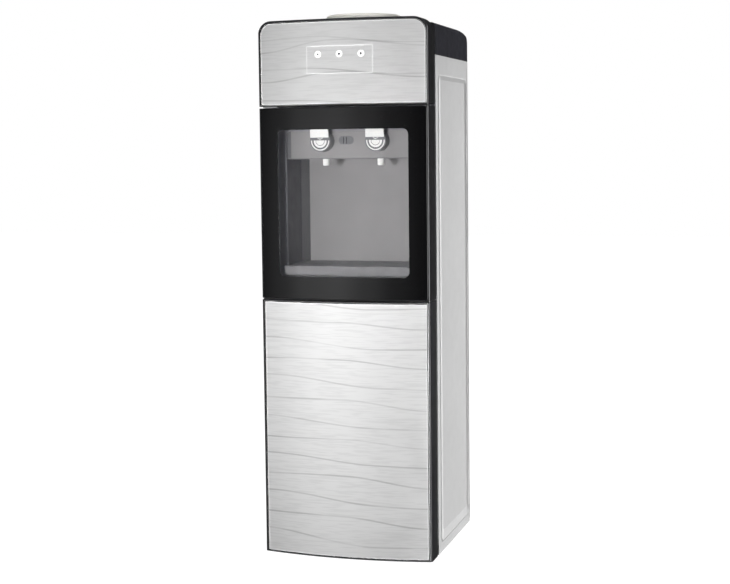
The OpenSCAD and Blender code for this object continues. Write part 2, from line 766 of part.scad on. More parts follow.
// Hollow frame with a bowed face, a return flange and two hinge bosses
module door_frame(z0, z1) {
    difference() {
        union() {
            difference() {
                plan(bow_round(half, edge_r, door_d), z0, z1);
                plan(bow_box(half - frame_t, glass_t + skin_t, door_d - 3), z0 + frame_t, z1 - frame_t);
                block([-half + flange_w, 0, z0 + flange_w], [half - flange_w, door_d + 1, z1 - flange_w]);
                plan(bow_sheet(panel_half + fit, -2, glass_t + running), z0 + panel_top - fit, z1 - panel_top + fit);
            }
            for (z = [z0 + 1, z1 - pin_l - 6])
                block([-half + 2, pin_y - pin_r - 5, z], [hinge_x + pin_r + 5, door_d - 1, z + pin_l + 5]);
        }
        for (z = [z0 - 1, z1 - pin_l - 2]) hinge_hole(z);
    }
}

module hinge_hole(z) bar_z(hinge_x, pin_y, pin_r + running, z, z + pin_l + 3);

module door_panel(z0, z1)
    plan(bow_sheet(panel_half, 0, glass_t), z0 + panel_top, z1 - panel_top);

// Outline of a door, drawn in by i on every side, with corner radius r
function inset_slab(i, z0, z1, r) = slab(-half + i, z0 + i, half - i, z1 - i, r, r);

module door_gasket(z0, z1) difference() {
    elevation(inset_slab(gasket_in, z0, z1, 3), door_d, front_y - fit);
    elevation(inset_slab(gasket_in + gasket_w, z0, z1, 2), door_d - 1, front_y + 1);
}

module upper_door_frame() set_down() color("#151517") difference() {
    door_frame(upper_z0, upper_z1);
    elevation(slab(-window_w / 2, window_z0, window_w / 2, window_z1, window_r, window_r),
        -bow - 1, 20);
}

module upper_door_glass() set_down() color("#33363a", 0.35) door_panel(upper_z0, upper_z1);
module upper_door_gasket() set_down() color("#111111") door_gasket(upper_z0, upper_z1);

module lower_door_frame() set_down() color("#2a2a2c") {
    door_frame(lower_z0, lower_z1);
    rib_y = bow_y(half - frame_t, glass_t + skin_t) - 3;
    for (k = [1:3]) {
        z = lower_z0 + k * lower_door_h / 4;
        intersection() {
            block([-half + frame_t - 1, -bow, z], [half - frame_t + 1, rib_y + 18, z + 3]);
            plan(bow_box(half - frame_t + 1, glass_t + 1, door_d), z, z + 3);
        }
    }
}

module lower_door_panel() set_down() color("gainsboro") door_panel(lower_z0, lower_z1);
module lower_door_gasket() set_down() color("#111111") door_gasket(lower_z0, lower_z1);

// Lower cabinet

// Side outline of the storage room, grown by g, with its step over the compressor
function store_side(g, y0) = [[y0, pan_h + 4 - g], [step_y - liner_t + g, pan_h + 4 - g],
    [step_y - liner_t + g, step_h + liner_t - g], [store_back + g, step_h + liner_t - g],
    [store_back + g, store_top + g], [y0, store_top + g]];

module cabinet_liner() set_down() color("#d8d8d8") {
    difference() {
        union() {
            block([-inner, front_y, pan_h], [inner, fascia_y1, liner_z1]);
            profile(store_side(liner_t, front_y), -store_half - liner_t, store_half + liner_t);
        }
        profile(store_side(0, front_y - 1), -store_half, store_half);
    }
    for (s = [0, 1]) mirror([s, 0, 0])
        block([store_half - shelf_lip, front_y + 14, shelf_z - 4], [store_half + 1, store_back, shelf_z]);
}

module cabinet_shelf() set_down() color("whitesmoke") difference() {
    block([-store_half + 0.5, front_y + 14, shelf_z], [store_half - 0.5, store_back - 1, shelf_z + shelf_t]);
    for (k = [-5:5]) block([k * 22 - 4, front_y + 40, shelf_z - 1],
        [k * 22 + 4, store_back - 30, shelf_z + shelf_t + 1]);
}

// Water circuit

// Tank with a port on each side, low down
module cold_tank() set_down() color("silver") difference() {
    union() {
        bar_z(0, seat_y, cold_r, cold_z0, cold_z1 + 1);
        bar_x(seat_y, port_z, port_r, -foam_out - fit, foam_out + fit);
    }
    bar_z(0, seat_y, cold_r - 1, cold_z0 + 1, cold_z1);
    bar_z(0, seat_y, neck_r - 6, cold_z1 - 1, cold_z1 + 2);
}

// Foam cup with a hole for each port
module cold_tank_foam() set_down() color("white") difference() {
    bar_z(0, seat_y, foam_out, cold_z0 - foam_t, cold_z1);
    bar_z(0, seat_y, foam_in, cold_z0, cold_z1 + 1);
    bar_x(seat_y, port_z, port_r + fit, -foam_out - 1, foam_out + 1);
}

// Copper tube wound on the cold tank, turns touching
module evaporator_coil() set_down() color("peru") translate([0, seat_y, 0]) rotate_extrude()
    for (k = [0:coil_turns - 1])
        translate([coil_c, coil_z0 + k * coil_pitch]) circle(r = coil_r, $fn = 16);

module hot_tank() set_down() color("silver") {
    difference() {
        bar_z(hot_x, hot_y, hot_r, hot_z0, hot_z1);
        bar_z(hot_x, hot_y, hot_r - 1, hot_z0 + 1, hot_z1 - 1);
        bar_z(hot_x, hot_y, tube_r - 1, hot_z0 - 1, hot_z1 + 1);
    }
    for (a = [30, 150, 270])
        bar_z(hot_x + (hot_r - 8) * cos(a), hot_y + (hot_r - 8) * sin(a), 4, deck_z + steel_t, hot_z0 + 1);
}

module heater_band() set_down() color("gray") difference() {
    bar_z(hot_x, hot_y, hot_r + band_t, band_z0, band_z1);
    bar_z(hot_x, hot_y, hot_r + running, band_z0 - 1, band_z1 + 1);
}

// Two snap discs on the hot tank's lid
module thermostats() set_down() color("dimgray") for (x = [-1, 1])
    bar_z(hot_x + x * disc_dx, hot_y - disc_dx, disc_r, hot_z1, hot_z1 + disc_h);

// Tap feeds from both tanks, and the feed from the cold tank down to the hot tank
module silicone_tubes() set_down() color("white") {
    back = bay_back + liner_t + 3 + tube_r;
    port_x = foam_out + fit;
    side = port_x + 3 * tube_r;
    pipe([[tap_dx, barb_y, shank_z], [tap_dx, back, shank_z], [side, back, shank_z + 30],
        [side, seat_y, port_z], [port_x, seat_y, port_z]], tube_r);
    pipe([[-tap_dx, barb_y, shank_z], [-tap_dx, hot_y, shank_z], [hot_x, hot_y, shank_z],
        [hot_x, hot_y, hot_z1]], tube_r);
    pipe([[-port_x, seat_y, port_z], [-side, seat_y, port_z], [-side, hot_y, port_z],
        [-side, hot_y, hot_z1 - 20], [hot_x - hot_r, hot_y, hot_z1 - 20]], tube_r);
}

// Stainless drain from the hot tank's floor to the spigot behind
module drain_pipe() set_down() color("silver") {
    pipe([[hot_x, hot_y, hot_z0], [hot_x, hot_y, deck_z - 20], [drain_x, pipe_y, deck_z - 20],
        [drain_x, pipe_y, drain_z]], tube_r - 0.5);
    difference() {
        bar_y(drain_x, drain_z, spigot_r, pipe_y, back_y + spigot_l);
        bar_y(drain_x, drain_z, spigot_bore, pipe_y + tube_r, back_y + spigot_l + 1);
    }
}

module drain_cap() set_down() color("whitesmoke") difference() {
    bar_y(drain_x, drain_z, cap_r, back_y + 2, back_y + spigot_l + 3);
    bar_y(drain_x, drain_z, spigot_r + running, back_y + 1, back_y + spigot_l + fit);
    for (a = [0:30:330]) translate([drain_x, 0, drain_z]) rotate([0, a, 0])
        bar_y(cap_r + 0.5, 0, 1.2, back_y + 4, back_y + spigot_l + 4);
}

module equipment_deck() set_down() color("gainsboro") difference() {
    union() {
        block([-deck_half, deck_y0, deck_z], [deck_half, deck_y1, deck_z + steel_t]);
        for (s = [0, 1]) mirror([s, 0, 0])
            block([deck_half - steel_t, deck_y0, deck_z - deck_lip], [deck_half, deck_y1, deck_z]);
    }
    bar_z(hot_x, hot_y, tube_r + 2, deck_z - 1, deck_z + steel_t + 1);
    bar_z(gland_x, hot_y, 8, deck_z - 1, deck_z + steel_t + 1);
    bar_z(riser_x, pipe_y, cool_r + 2, deck_z - 1, deck_z + steel_t + 1);
}

// Relay and transformer box
module control_box() set_down() color("white") {
    y0 = bay_back + liner_t + box_gap;
    y1 = back_y - box_gap;
    z1 = deck_z + steel_t + box_h;
    block([box_x0, y0, deck_z + steel_t], [box_x1, y1, z1]);
    block([box_x0 - lid_out, y0 - lid_out, z1], [box_x1 + lid_out, y1 + lid_out, z1 + lid_h]);
}

// Cooling circuit

module compressor() set_down() color("#1b1b1b") {
    translate([comp_x, comp_y, comp_z0 + comp_foot]) rotate_extrude()
        polygon(concat([[0, 0], [comp_r - 14, 0]], arc([comp_r - 14, 14], 14, -90, 0, 6, 1),
            [[comp_r, comp_h / 2 - 3], [comp_r + 2, comp_h / 2 - 3], [comp_r + 2, comp_h / 2 + 3],
                [comp_r, comp_h / 2 + 3]], arc([comp_r - 30, comp_h - 30], 30, 0, 90, 8), [[0, comp_h]]));
    difference() {
        block([comp_x - comp_dx - 12, comp_y - comp_dy - 12, comp_z0],
            [comp_x + comp_dx + 12, comp_y + comp_dy + 12, comp_z0 + comp_foot]);
        for (x = [-1, 1], y = [-1, 1])
            bar_z(comp_x + x * comp_dx, comp_y + y * comp_dy, 4.5, comp_z0 - 1, comp_z0 + comp_foot + 1);
    }
    block([comp_x + comp_r - 4, comp_y - 18, comp_z0 + 30], [comp_x + comp_r + 20, comp_y + 18, comp_z0 + 75]);
}

module compressor_mounts() set_down() color("#222222") for (x = [-1, 1], y = [-1, 1]) {
    bar_z(comp_x + x * comp_dx, comp_y + y * comp_dy, 9, steel_t, comp_z0);
    bar_z(comp_x + x * comp_dx, comp_y + y * comp_dy, 4, comp_z0 - 0.1, comp_z0 + comp_foot + 4);
}

// One serpentine tube with wires on both faces
module condenser() set_down() color("#161616") {
    for (k = [0:cond_runs - 1]) {
        z = cond_z0 + k * cond_pitch;
        bar_x(cond_y, z, cond_r, -run_half, run_half);
        if (k < cond_runs - 1) translate([(k % 2 == 0 ? 1 : -1) * run_half, cond_y, z + bend_r])
            rotate([90, 0, 0]) rotate([0, 0, k % 2 == 0 ? -90 : 90])
                rotate_extrude(angle = 180) translate([bend_r, 0]) circle(r = cond_r, $fn = 24);
    }
    wires = floor(run_half / wire_pitch);
    for (k = [-wires:wires], s = [-1, 1])
        bar_z(k * wire_pitch, cond_y + s * (cond_r + 0.1 + wire_r), wire_r,
            cond_z0 - 8, cond_z0 + (cond_runs - 1) * cond_pitch + 8, $fn = 6);
}

// Plastic stand-offs that hold the condenser off the rear panel
module condenser_brackets() set_down() color("#303030") for (x = [-1, 1], k = [1, cond_runs - 2])
    block([(x * 6.5 - 0.5) * wire_pitch + 2, back_y, cond_z0 + k * cond_pitch - 8],
        [(x * 6.5 + 0.5) * wire_pitch - 2, cond_y - cond_r - 0.1, cond_z0 + k * cond_pitch + 8]);

// Discharge pipe to the condenser, liquid pipe to the drier, and suction pipe from the coil
module refrigerant_pipes() set_down() color("peru") {
    dry_x = comp_x + comp_r + 34;
    dry_y = pipe_y - 14;
    bar_z(dry_x, dry_y, 9, pan_h + 30, pan_h + 110);
    bar_z(dry_x, dry_y, 3, steel_t, pan_h + 31);
    low = cond_z0 - 12;
    out = comp_z0 + 40;
    pipe([[comp_x, comp_y + comp_r - 4, out], [comp_x, pipe_y, out], [-drop_x, pipe_y, out],
        [-drop_x, pipe_y, low], [-drop_x, cond_y, low], [-drop_x, cond_y, cond_z0 - cond_r + 0.2]], cool_r);
    pipe([[drop_x, cond_y, cond_z0 - cond_r + 0.2], [drop_x, cond_y, low], [drop_x, pipe_y, low],
        [drop_x, pipe_y, pan_h + 135], [dry_x, dry_y, pan_h + 125], [dry_x, dry_y, pan_h + 109]], cool_r);
    back = comp_z0 + 100;
    over = cold_z1 + 16;
    pipe([[comp_x - comp_r + 4, comp_y, back], [riser_x, comp_y, back], [riser_x, pipe_y, back],
        [riser_x, pipe_y, over], [-coil_c, seat_y, over],
        [-coil_c, seat_y, coil_z0 + (coil_turns - 1) * coil_pitch]], cool_r);
}

// Rear fittings

module rocker_pocket(x) bar_x(rocker_y, switch_z, rocker_r + fit, x - rocker_w / 2 - fit, x + rocker_w / 2 + fit);

module switch_housing() set_down() color("#222222") difference() {
    union() {
        block([switch_x - 2 * rocker_dx + fit, back_y - switch_depth, switch_z - rocker_r - 2 + fit],
            [switch_x + 2 * rocker_dx - fit, back_y + 1, switch_z + rocker_r + 2 - fit]);
        block([switch_x - 2 * rocker_dx - 3, back_y, switch_z - rocker_r - 5],
            [switch_x + 2 * rocker_dx + 3, back_y + 2, switch_z + rocker_r + 5]);
    }
    for (s = [-1, 1]) {
        rocker_pocket(switch_x + s * rocker_dx);
        bar_x(rocker_y, switch_z, 1.5 + running, switch_x + s * rocker_dx - rocker_w / 2 - 1.5,
            switch_x + s * rocker_dx + rocker_w / 2 + 1.5);
    }
}

// Rocker with a shallow V face, tilted to its off position
module rocker(x) {
    translate([0, rocker_y, switch_z]) rotate([rocker_tilt, 0, 0]) intersection() {
        bar_x(0, 0, rocker_r, x - rocker_w / 2, x + rocker_w / 2);
        profile([[-4, -10], [6.5, -10], [4.5, 0], [6.5, 10], [-4, 10]], x - rocker_w / 2, x + rocker_w / 2);
    }
    bar_x(rocker_y, switch_z, 1.5, x - rocker_w / 2 - 1, x + rocker_w / 2 + 1);
}

module heat_rocker() set_down() color("firebrick") rocker(switch_x - rocker_dx);
module cool_rocker() set_down() color("seagreen") rocker(switch_x + rocker_dx);

// Gland for the mains lead
module cable_gland() set_down() color("#202020") difference() {
    union() {
        bar_y(gland_x, drain_z, gland_r, back_y - 10, back_y + 1);
        translate([gland_x, back_y, drain_z]) rotate([-90, 0, 0]) cylinder(r1 = gland_r + 3, r2 = gland_r, h = 6);
        bar_y(gland_x, drain_z, gland_r + 3, back_y - steel_t - 4, back_y - steel_t);
    }
    bar_y(gland_x, drain_z, gland_bore, back_y - 11, back_y + 7);
}

base_pan();
feet();
side_panel_left();
side_panel_right();
rear_panel();
top_cover();
bottle_seat();
water_guard();
head_frame();
head_panel();
indicator_lenses();
led_board();
fascia();
bay_liner();
tap_hood();
hood_badge();
tap_body_left();
tap_body_right();
tap_marks();
spouts();
spring_left();
spring_right();
top_hinge();
middle_rail();
bottom_hinge();
cabinet_liner();
cabinet_shelf();
cold_tank();
cold_tank_foam();
evaporator_coil();
hot_tank();
heater_band();
thermostats();
silicone_tubes();
drain_pipe();
compressor();
compressor_mounts();
condenser();
condenser_brackets();
refrigerant_pipes();
control_box();
equipment_deck();
switch_housing();
cable_gland();
panel_screws();
upper_door_frame();
upper_door_glass();
upper_door_gasket();
lower_door_frame();
lower_door_panel();
lower_door_gasket();
lever_left();
lever_right();
stem_left();
stem_right();
drip_tray();
drip_grille();
heat_rocker();
cool_rocker();
drain_cap();
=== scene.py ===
"""Looks of a hot and cold water dispenser, built round its packed construction.

Shapes are drawn in millimetres in the construction's own plane: X to the viewer's right, Y back
from the front corners, Z up from the underside of the cabinet. Workpiece.place moves a finished
mesh into the frame, in metres.
"""

import json
import logging
import math
from collections.abc import Iterable, Sequence
from dataclasses import dataclass, field
from enum import Enum

import bmesh
import bpy
from mathutils import Matrix, Vector


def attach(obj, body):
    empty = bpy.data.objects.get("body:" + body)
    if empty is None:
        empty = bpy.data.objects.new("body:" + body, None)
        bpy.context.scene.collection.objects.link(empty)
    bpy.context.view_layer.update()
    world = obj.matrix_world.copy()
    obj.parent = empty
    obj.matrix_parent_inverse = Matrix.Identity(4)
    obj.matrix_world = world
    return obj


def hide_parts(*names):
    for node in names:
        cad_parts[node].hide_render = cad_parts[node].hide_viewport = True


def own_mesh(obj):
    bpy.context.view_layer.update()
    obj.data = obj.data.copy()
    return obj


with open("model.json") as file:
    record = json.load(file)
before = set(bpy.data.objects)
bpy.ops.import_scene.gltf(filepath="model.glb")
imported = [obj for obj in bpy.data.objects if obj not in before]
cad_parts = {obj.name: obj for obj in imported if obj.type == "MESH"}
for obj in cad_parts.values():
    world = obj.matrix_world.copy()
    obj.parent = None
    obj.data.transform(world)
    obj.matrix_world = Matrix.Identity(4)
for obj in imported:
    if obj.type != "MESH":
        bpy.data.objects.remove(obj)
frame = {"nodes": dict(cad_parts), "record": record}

LOG = logging.getLogger("water_dispenser")
MM = 0.001
SETTLE = Vector((0.0, -153.0, 8.0))
WHOLE_TURN = 2 * math.pi
# Setting of a range that eases in and out
SMOOTH = {"interpolation_type": "SMOOTHSTEP"}
# Shader sockets of a bare metal
METAL = (("Metallic", 1.0),)

Point = tuple[float, float, float]
Span = tuple[float, float]
Socket = bpy.types.NodeSocket


class Body(Enum):
    """CAD bodies that new pieces ride on."""

    CABINET = "cabinet"
    UPPER_DOOR = "upper_door"
    LOWER_DOOR = "lower_door"
    LEVER_LEFT = "lever_left"
    LEVER_RIGHT = "lever_right"


class Slot(Enum):
    """Material slots of the record."""

    SIDE_PAINT = "side_paint"
    ZINC_STEEL = "zinc_steel"
    BRIGHT_STEEL = "bright_steel"
    BLACK_PAINT = "black_paint"
    COPPER = "copper"
    COVER_BLACK = "cover_black"
    FRAME_BLACK = "frame_black"
    FRAME_GREY = "frame_grey"
    PANEL_SILVER = "panel_silver"
    DOOR_GLASS = "door_glass"
    BAY_GREY = "bay_grey"
    FASCIA_GREY = "fascia_grey"
    TAP_GREY = "tap_grey"
    TRAY_GREY = "tray_grey"
    WHITE_PLASTIC = "white_plastic"
    IVORY_PLASTIC = "ivory_plastic"
    LINER_PLASTIC = "liner_plastic"
    FOAM = "foam"
    BOARD_GREEN = "board_green"
    SILICONE = "silicone"
    BLACK_RUBBER = "black_rubber"
    BLACK_PLASTIC = "black_plastic"
    ROCKER_RED = "rocker_red"
    ROCKER_GREEN = "rocker_green"


def linear(code: str) -> tuple[float, float, float, float]:
    """Turns an sRGB hex colour to linear RGBA.

    Args:
        code: colour such as "#c4c4c6".

    Returns:
        Red, green, blue and alpha, linear.
    """
    shares = [int(code[i : i + 2], 16) / 255 for i in (1, 3, 5)]
    red, green, blue = (s / 12.92 if s <= 0.04045 else ((s + 0.055) / 1.055) ** 2.4 for s in shares)
    return red, green, blue, 1.0


def add_node(
    tree: bpy.types.NodeTree,
    kind: str,
    inputs: Sequence[object] | dict[str | int, object] = (),
    **settings: object,
) -> bpy.types.Node:
    """Adds a node with its settings and links.

    Args:
        tree: tree that gets the node.
        kind: name of the node's type.
        inputs: values in the order of the node's inputs, or by name or number. A socket given as a
            value is linked, and so is the first output of a node.
        settings: attributes of the node.

    Returns:
        The new node.
    """
    node = tree.nodes.new(kind)
    for name, value in settings.items():
        setattr(node, name, value)
    for key, value in inputs.items() if isinstance(inputs, dict) else enumerate(inputs):
        source = value.outputs[0] if isinstance(value, bpy.types.Node) else value
        if isinstance(source, Socket):
            tree.links.new(source, node.inputs[key])
        else:
            node.inputs[key].default_value = source
    return node


def noise(tree: bpy.types.NodeTree, size: Point, detail: float = 2.0) -> Socket:
    """Smooth noise on Object coordinates.

    Args:
        tree: tree of the material.
        size: width of the noise's patches along X, Y and Z, in millimetres.
        detail: number of finer layers.

    Returns:
        Socket of a value about 0.5.
    """
    place = add_node(tree, "ShaderNodeTexCoord").outputs["Object"]
    per_metre = tuple(1 / (s * MM) for s in size)
    scaled = add_node(tree, "ShaderNodeMapping", {"Vector": place, "Scale": per_metre})
    inputs = {"Vector": scaled, "Scale": 1.0, "Detail": detail}
    return add_node(tree, "ShaderNodeTexNoise", inputs).outputs[0]


def cells(tree: bpy.types.NodeTree, size: float, feature: str, output: str) -> Socket:
    """Cell pattern on Object coordinates.

    Args:
        tree: tree of the material.
        size: width of a cell in millimetres.
        feature: what is measured in a cell.
        output: name of the output that is read.

    Returns:
        Socket of the output.
    """
    place = add_node(tree, "ShaderNodeTexCoord").outputs["Object"]
    inputs = {"Vector": place, "Scale": 1 / (size * MM)}
    return add_node(tree, "ShaderNodeTexVoronoi", inputs, feature=feature).outputs[output]


@dataclass(frozen=True)
class Finish:
    """A moulded, plain surface; other ways of making a surface are its subclasses.

    Attributes:
        name: common name of the material.
        colour: sRGB hex colour.
        roughness: roughness of the surface.
        grain: width of the surface's grain in millimetres.
        relief: height of the grain in millimetres.
        mottle: second colour, in slow patches.
        patch: width of the patches in millimetres.
        sockets: shader sockets that are the same all over.
    """

    name: str
    colour: str
    roughness: float
    grain: float = 0.9
    relief: float = 0.02
    mottle: str = ""
    patch: float = 60.0
    sockets: tuple[tuple[str, float], ...] = ()

    def build(self) -> bpy.types.Material:
        """Makes the material of this finish."""
        material = bpy.data.materials.new(self.name)
        material.use_nodes = True
        tree = material.node_tree
        shader = tree.nodes["Principled BSDF"]
        shader.inputs["Base Color"].default_value = linear(self.colour)
        shader.inputs["Roughness"].default_value = self.roughness
        for name, value in self.sockets:
            shader.inputs[name].default_value = value
        tree.links.new(self.tint(tree), shader.inputs["Base Color"])
        tree.links.new(self.gloss(tree), shader.inputs["Roughness"])
        if self.relief:
            height = {"Height": self.surface(tree), "Distance": self.relief * MM, "Strength": 1.0}
            tree.links.new(add_node(tree, "ShaderNodeBump", height).outputs[0], shader.inputs["Normal"])
        return material

    def tint(self, tree: bpy.types.NodeTree) -> Socket:
        """Base colour with its slow patches."""
        patches = noise(tree, (self.patch,) * 3)
        share = add_node(tree, "ShaderNodeMapRange", (patches, 0.35, 0.65, 0.0, 1.0), **SMOOTH)
        colours = {0: share, 6: linear(self.colour), 7: linear(self.mottle or self.colour)}
        return add_node(tree, "ShaderNodeMix", colours, data_type="RGBA").outputs[2]

    def gloss(self, tree: bpy.types.NodeTree) -> Socket:
        """Roughness, a little uneven as a used mould leaves it."""
        spread = 0.12 * self.roughness
        patches = noise(tree, (25.0,) * 3)
        levels = (patches, 0.3, 0.7, self.roughness - spread, self.roughness + spread)
        return add_node(tree, "ShaderNodeMapRange", levels, **SMOOTH).outputs[0]

    def surface(self, tree: bpy.types.NodeTree) -> Socket:
        """Height of the grain."""
        return noise(tree, (self.grain,) * 3)


@dataclass(frozen=True)
class Galvanised(Finish):
    """Zinc-coated sheet: crystals of the coating, each with its own shine.

    Attributes:
        crystal: width of a crystal in millimetres.
        spread: how far a crystal's roughness lies from the mean.
    """

    crystal: float = 9.0
    spread: float = 0.08

    def tint(self, tree: bpy.types.NodeTree) -> Socket:
        """Colour that changes a little from crystal to crystal."""
        share = cells(tree, self.crystal, "F1", "Color")
        colours = {0: share, 6: linear(self.colour), 7: linear(self.mottle)}
        return add_node(tree, "ShaderNodeMix", colours, data_type="RGBA").outputs[2]

    def gloss(self, tree: bpy.types.NodeTree) -> Socket:
        """Roughness that changes from crystal to crystal."""
        share = cells(tree, self.crystal, "F1", "Color")
        levels = (share, 0.2, 0.8, self.roughness - self.spread, self.roughness + self.spread)
        return add_node(tree, "ShaderNodeMapRange", levels, **SMOOTH).outputs[0]


@dataclass(frozen=True)
class Drawn(Finish):
    """Metal with fine lines along one direction, as rolling, brushing or drawing leaves them.

    Attributes:
        lines: width of the lines' patches along X, Y and Z in millimetres.
    """

    lines: Point = (40.0, 0.5, 0.5)

    def surface(self, tree: bpy.types.NodeTree) -> Socket:
        """Height of the lines."""
        return noise(tree, self.lines)


@dataclass(frozen=True)
class Stoved(Finish):
    """Stove enamel under the appliance: pale dust lies on what faces up.

    Attributes:
        dust: colour of the dust.
        cover: how much of the enamel the dust hides on a level face.
        drift: width of the dust's patches in millimetres.
    """

    dust: str = "#5d5953"
    cover: float = 0.55
    drift: float = 14.0

    def tint(self, tree: bpy.types.NodeTree) -> Socket:
        """Enamel with dust by how far the surface faces up."""
        facing = add_node(tree, "ShaderNodeNewGeometry").outputs["Normal"]
        rise = add_node(tree, "ShaderNodeSeparateXYZ", (facing,)).outputs[2]
        lying = add_node(tree, "ShaderNodeMapRange", (rise, 0.4, 1.0, 0.0, self.cover), **SMOOTH)
        patches = noise(tree, (self.drift,) * 3)
        uneven = add_node(tree, "ShaderNodeMapRange", (patches, 0.3, 0.7, 0.2, 1.0), **SMOOTH)
        share = add_node(tree, "ShaderNodeMath", (lying, uneven), operation="MULTIPLY")
        colours = {0: share, 6: linear(self.colour), 7: linear(self.dust)}
        return add_node(tree, "ShaderNodeMix", colours, data_type="RGBA").outputs[2]


@dataclass(frozen=True)
class Beads(Finish):
    """Expanded beads pressed together: each bead is a shallow dome."""

    def surface(self, tree: bpy.types.NodeTree) -> Socket:
        """Height of the beads."""
        reach = cells(tree, self.grain, "F1", "Distance")
        return add_node(tree, "ShaderNodeMath", (1.0, reach), operation="SUBTRACT").outputs[0]


@dataclass(frozen=True)
class Board(Finish):
    """Printed board: solder mask over copper tracks that show as paler lines.

    Attributes:
        track: distance from track to track in millimetres.
    """

    track: float = 6.0

    def tint(self, tree: bpy.types.NodeTree) -> Socket:
        """Mask, paler over the tracks."""
        gap = cells(tree, self.track, "DISTANCE_TO_EDGE", "Distance")
        share = add_node(tree, "ShaderNodeMapRange", (gap, 0.04, 0.1, 1.0, 0.0), **SMOOTH)
        colours = {0: share, 6: linear(self.colour), 7: linear(self.mottle)}
        return add_node(tree, "ShaderNodeMix", colours, data_type="RGBA").outputs[2]


@dataclass(frozen=True)
class PaintedShadeLiner(Finish):
    """Bay liner: a pale back, with the cheeks at both sides and the slanted corners painted darker as painted
    shade.

    Attributes:
        cheek: colour of the sides, painted darker as painted shade.
        bevel: colour of the slanted corners, between back and cheeks, painted shade.
        inner: half width of the pale back in millimetres.
        outer: half width up to the cheeks in millimetres.
        soft: width over which one colour turns to the next, in millimetres.
    """

    cheek: str = "#525156"
    bevel: str = "#6a6a6c"
    inner: float = 114.0
    outer: float = 121.6
    soft: float = 0.4

    def tint(self, tree: bpy.types.NodeTree) -> Socket:
        """Colour by the distance from the middle: painted shade, darker towards the sides."""
        place = add_node(tree, "ShaderNodeTexCoord").outputs["Object"]
        across = add_node(tree, "ShaderNodeSeparateXYZ", (place,))
        reach = add_node(tree, "ShaderNodeMath", (across, 0.0), operation="ABSOLUTE")
        inner = (reach, (self.inner - self.soft) * MM, (self.inner + self.soft) * MM, 0.0, 1.0)
        slanted = add_node(tree, "ShaderNodeMapRange", inner, **SMOOTH)
        outer = (reach, (self.outer - self.soft) * MM, self.outer * MM, 0.0, 1.0)
        side = add_node(tree, "ShaderNodeMapRange", outer, **SMOOTH)
        colours = {0: slanted, 6: super().tint(tree), 7: linear(self.bevel)}
        corner = add_node(tree, "ShaderNodeMix", colours, data_type="RGBA").outputs[2]
        colours = {0: side, 6: corner, 7: linear(self.cheek)}
        return add_node(tree, "ShaderNodeMix", colours, data_type="RGBA").outputs[2]


@dataclass(frozen=True)
class Wave:
    """One family of printed lines that run across a panel.

    Attributes:
        pitch: distance from line to line in millimetres.
        start: height of one line at the left in millimetres.
        bends: pieces of its course, each the X where it begins and ends and the rise over it.
        strength: how dark the line is.
    """

    pitch: float
    start: float
    bends: tuple[Point, ...]
    strength: float


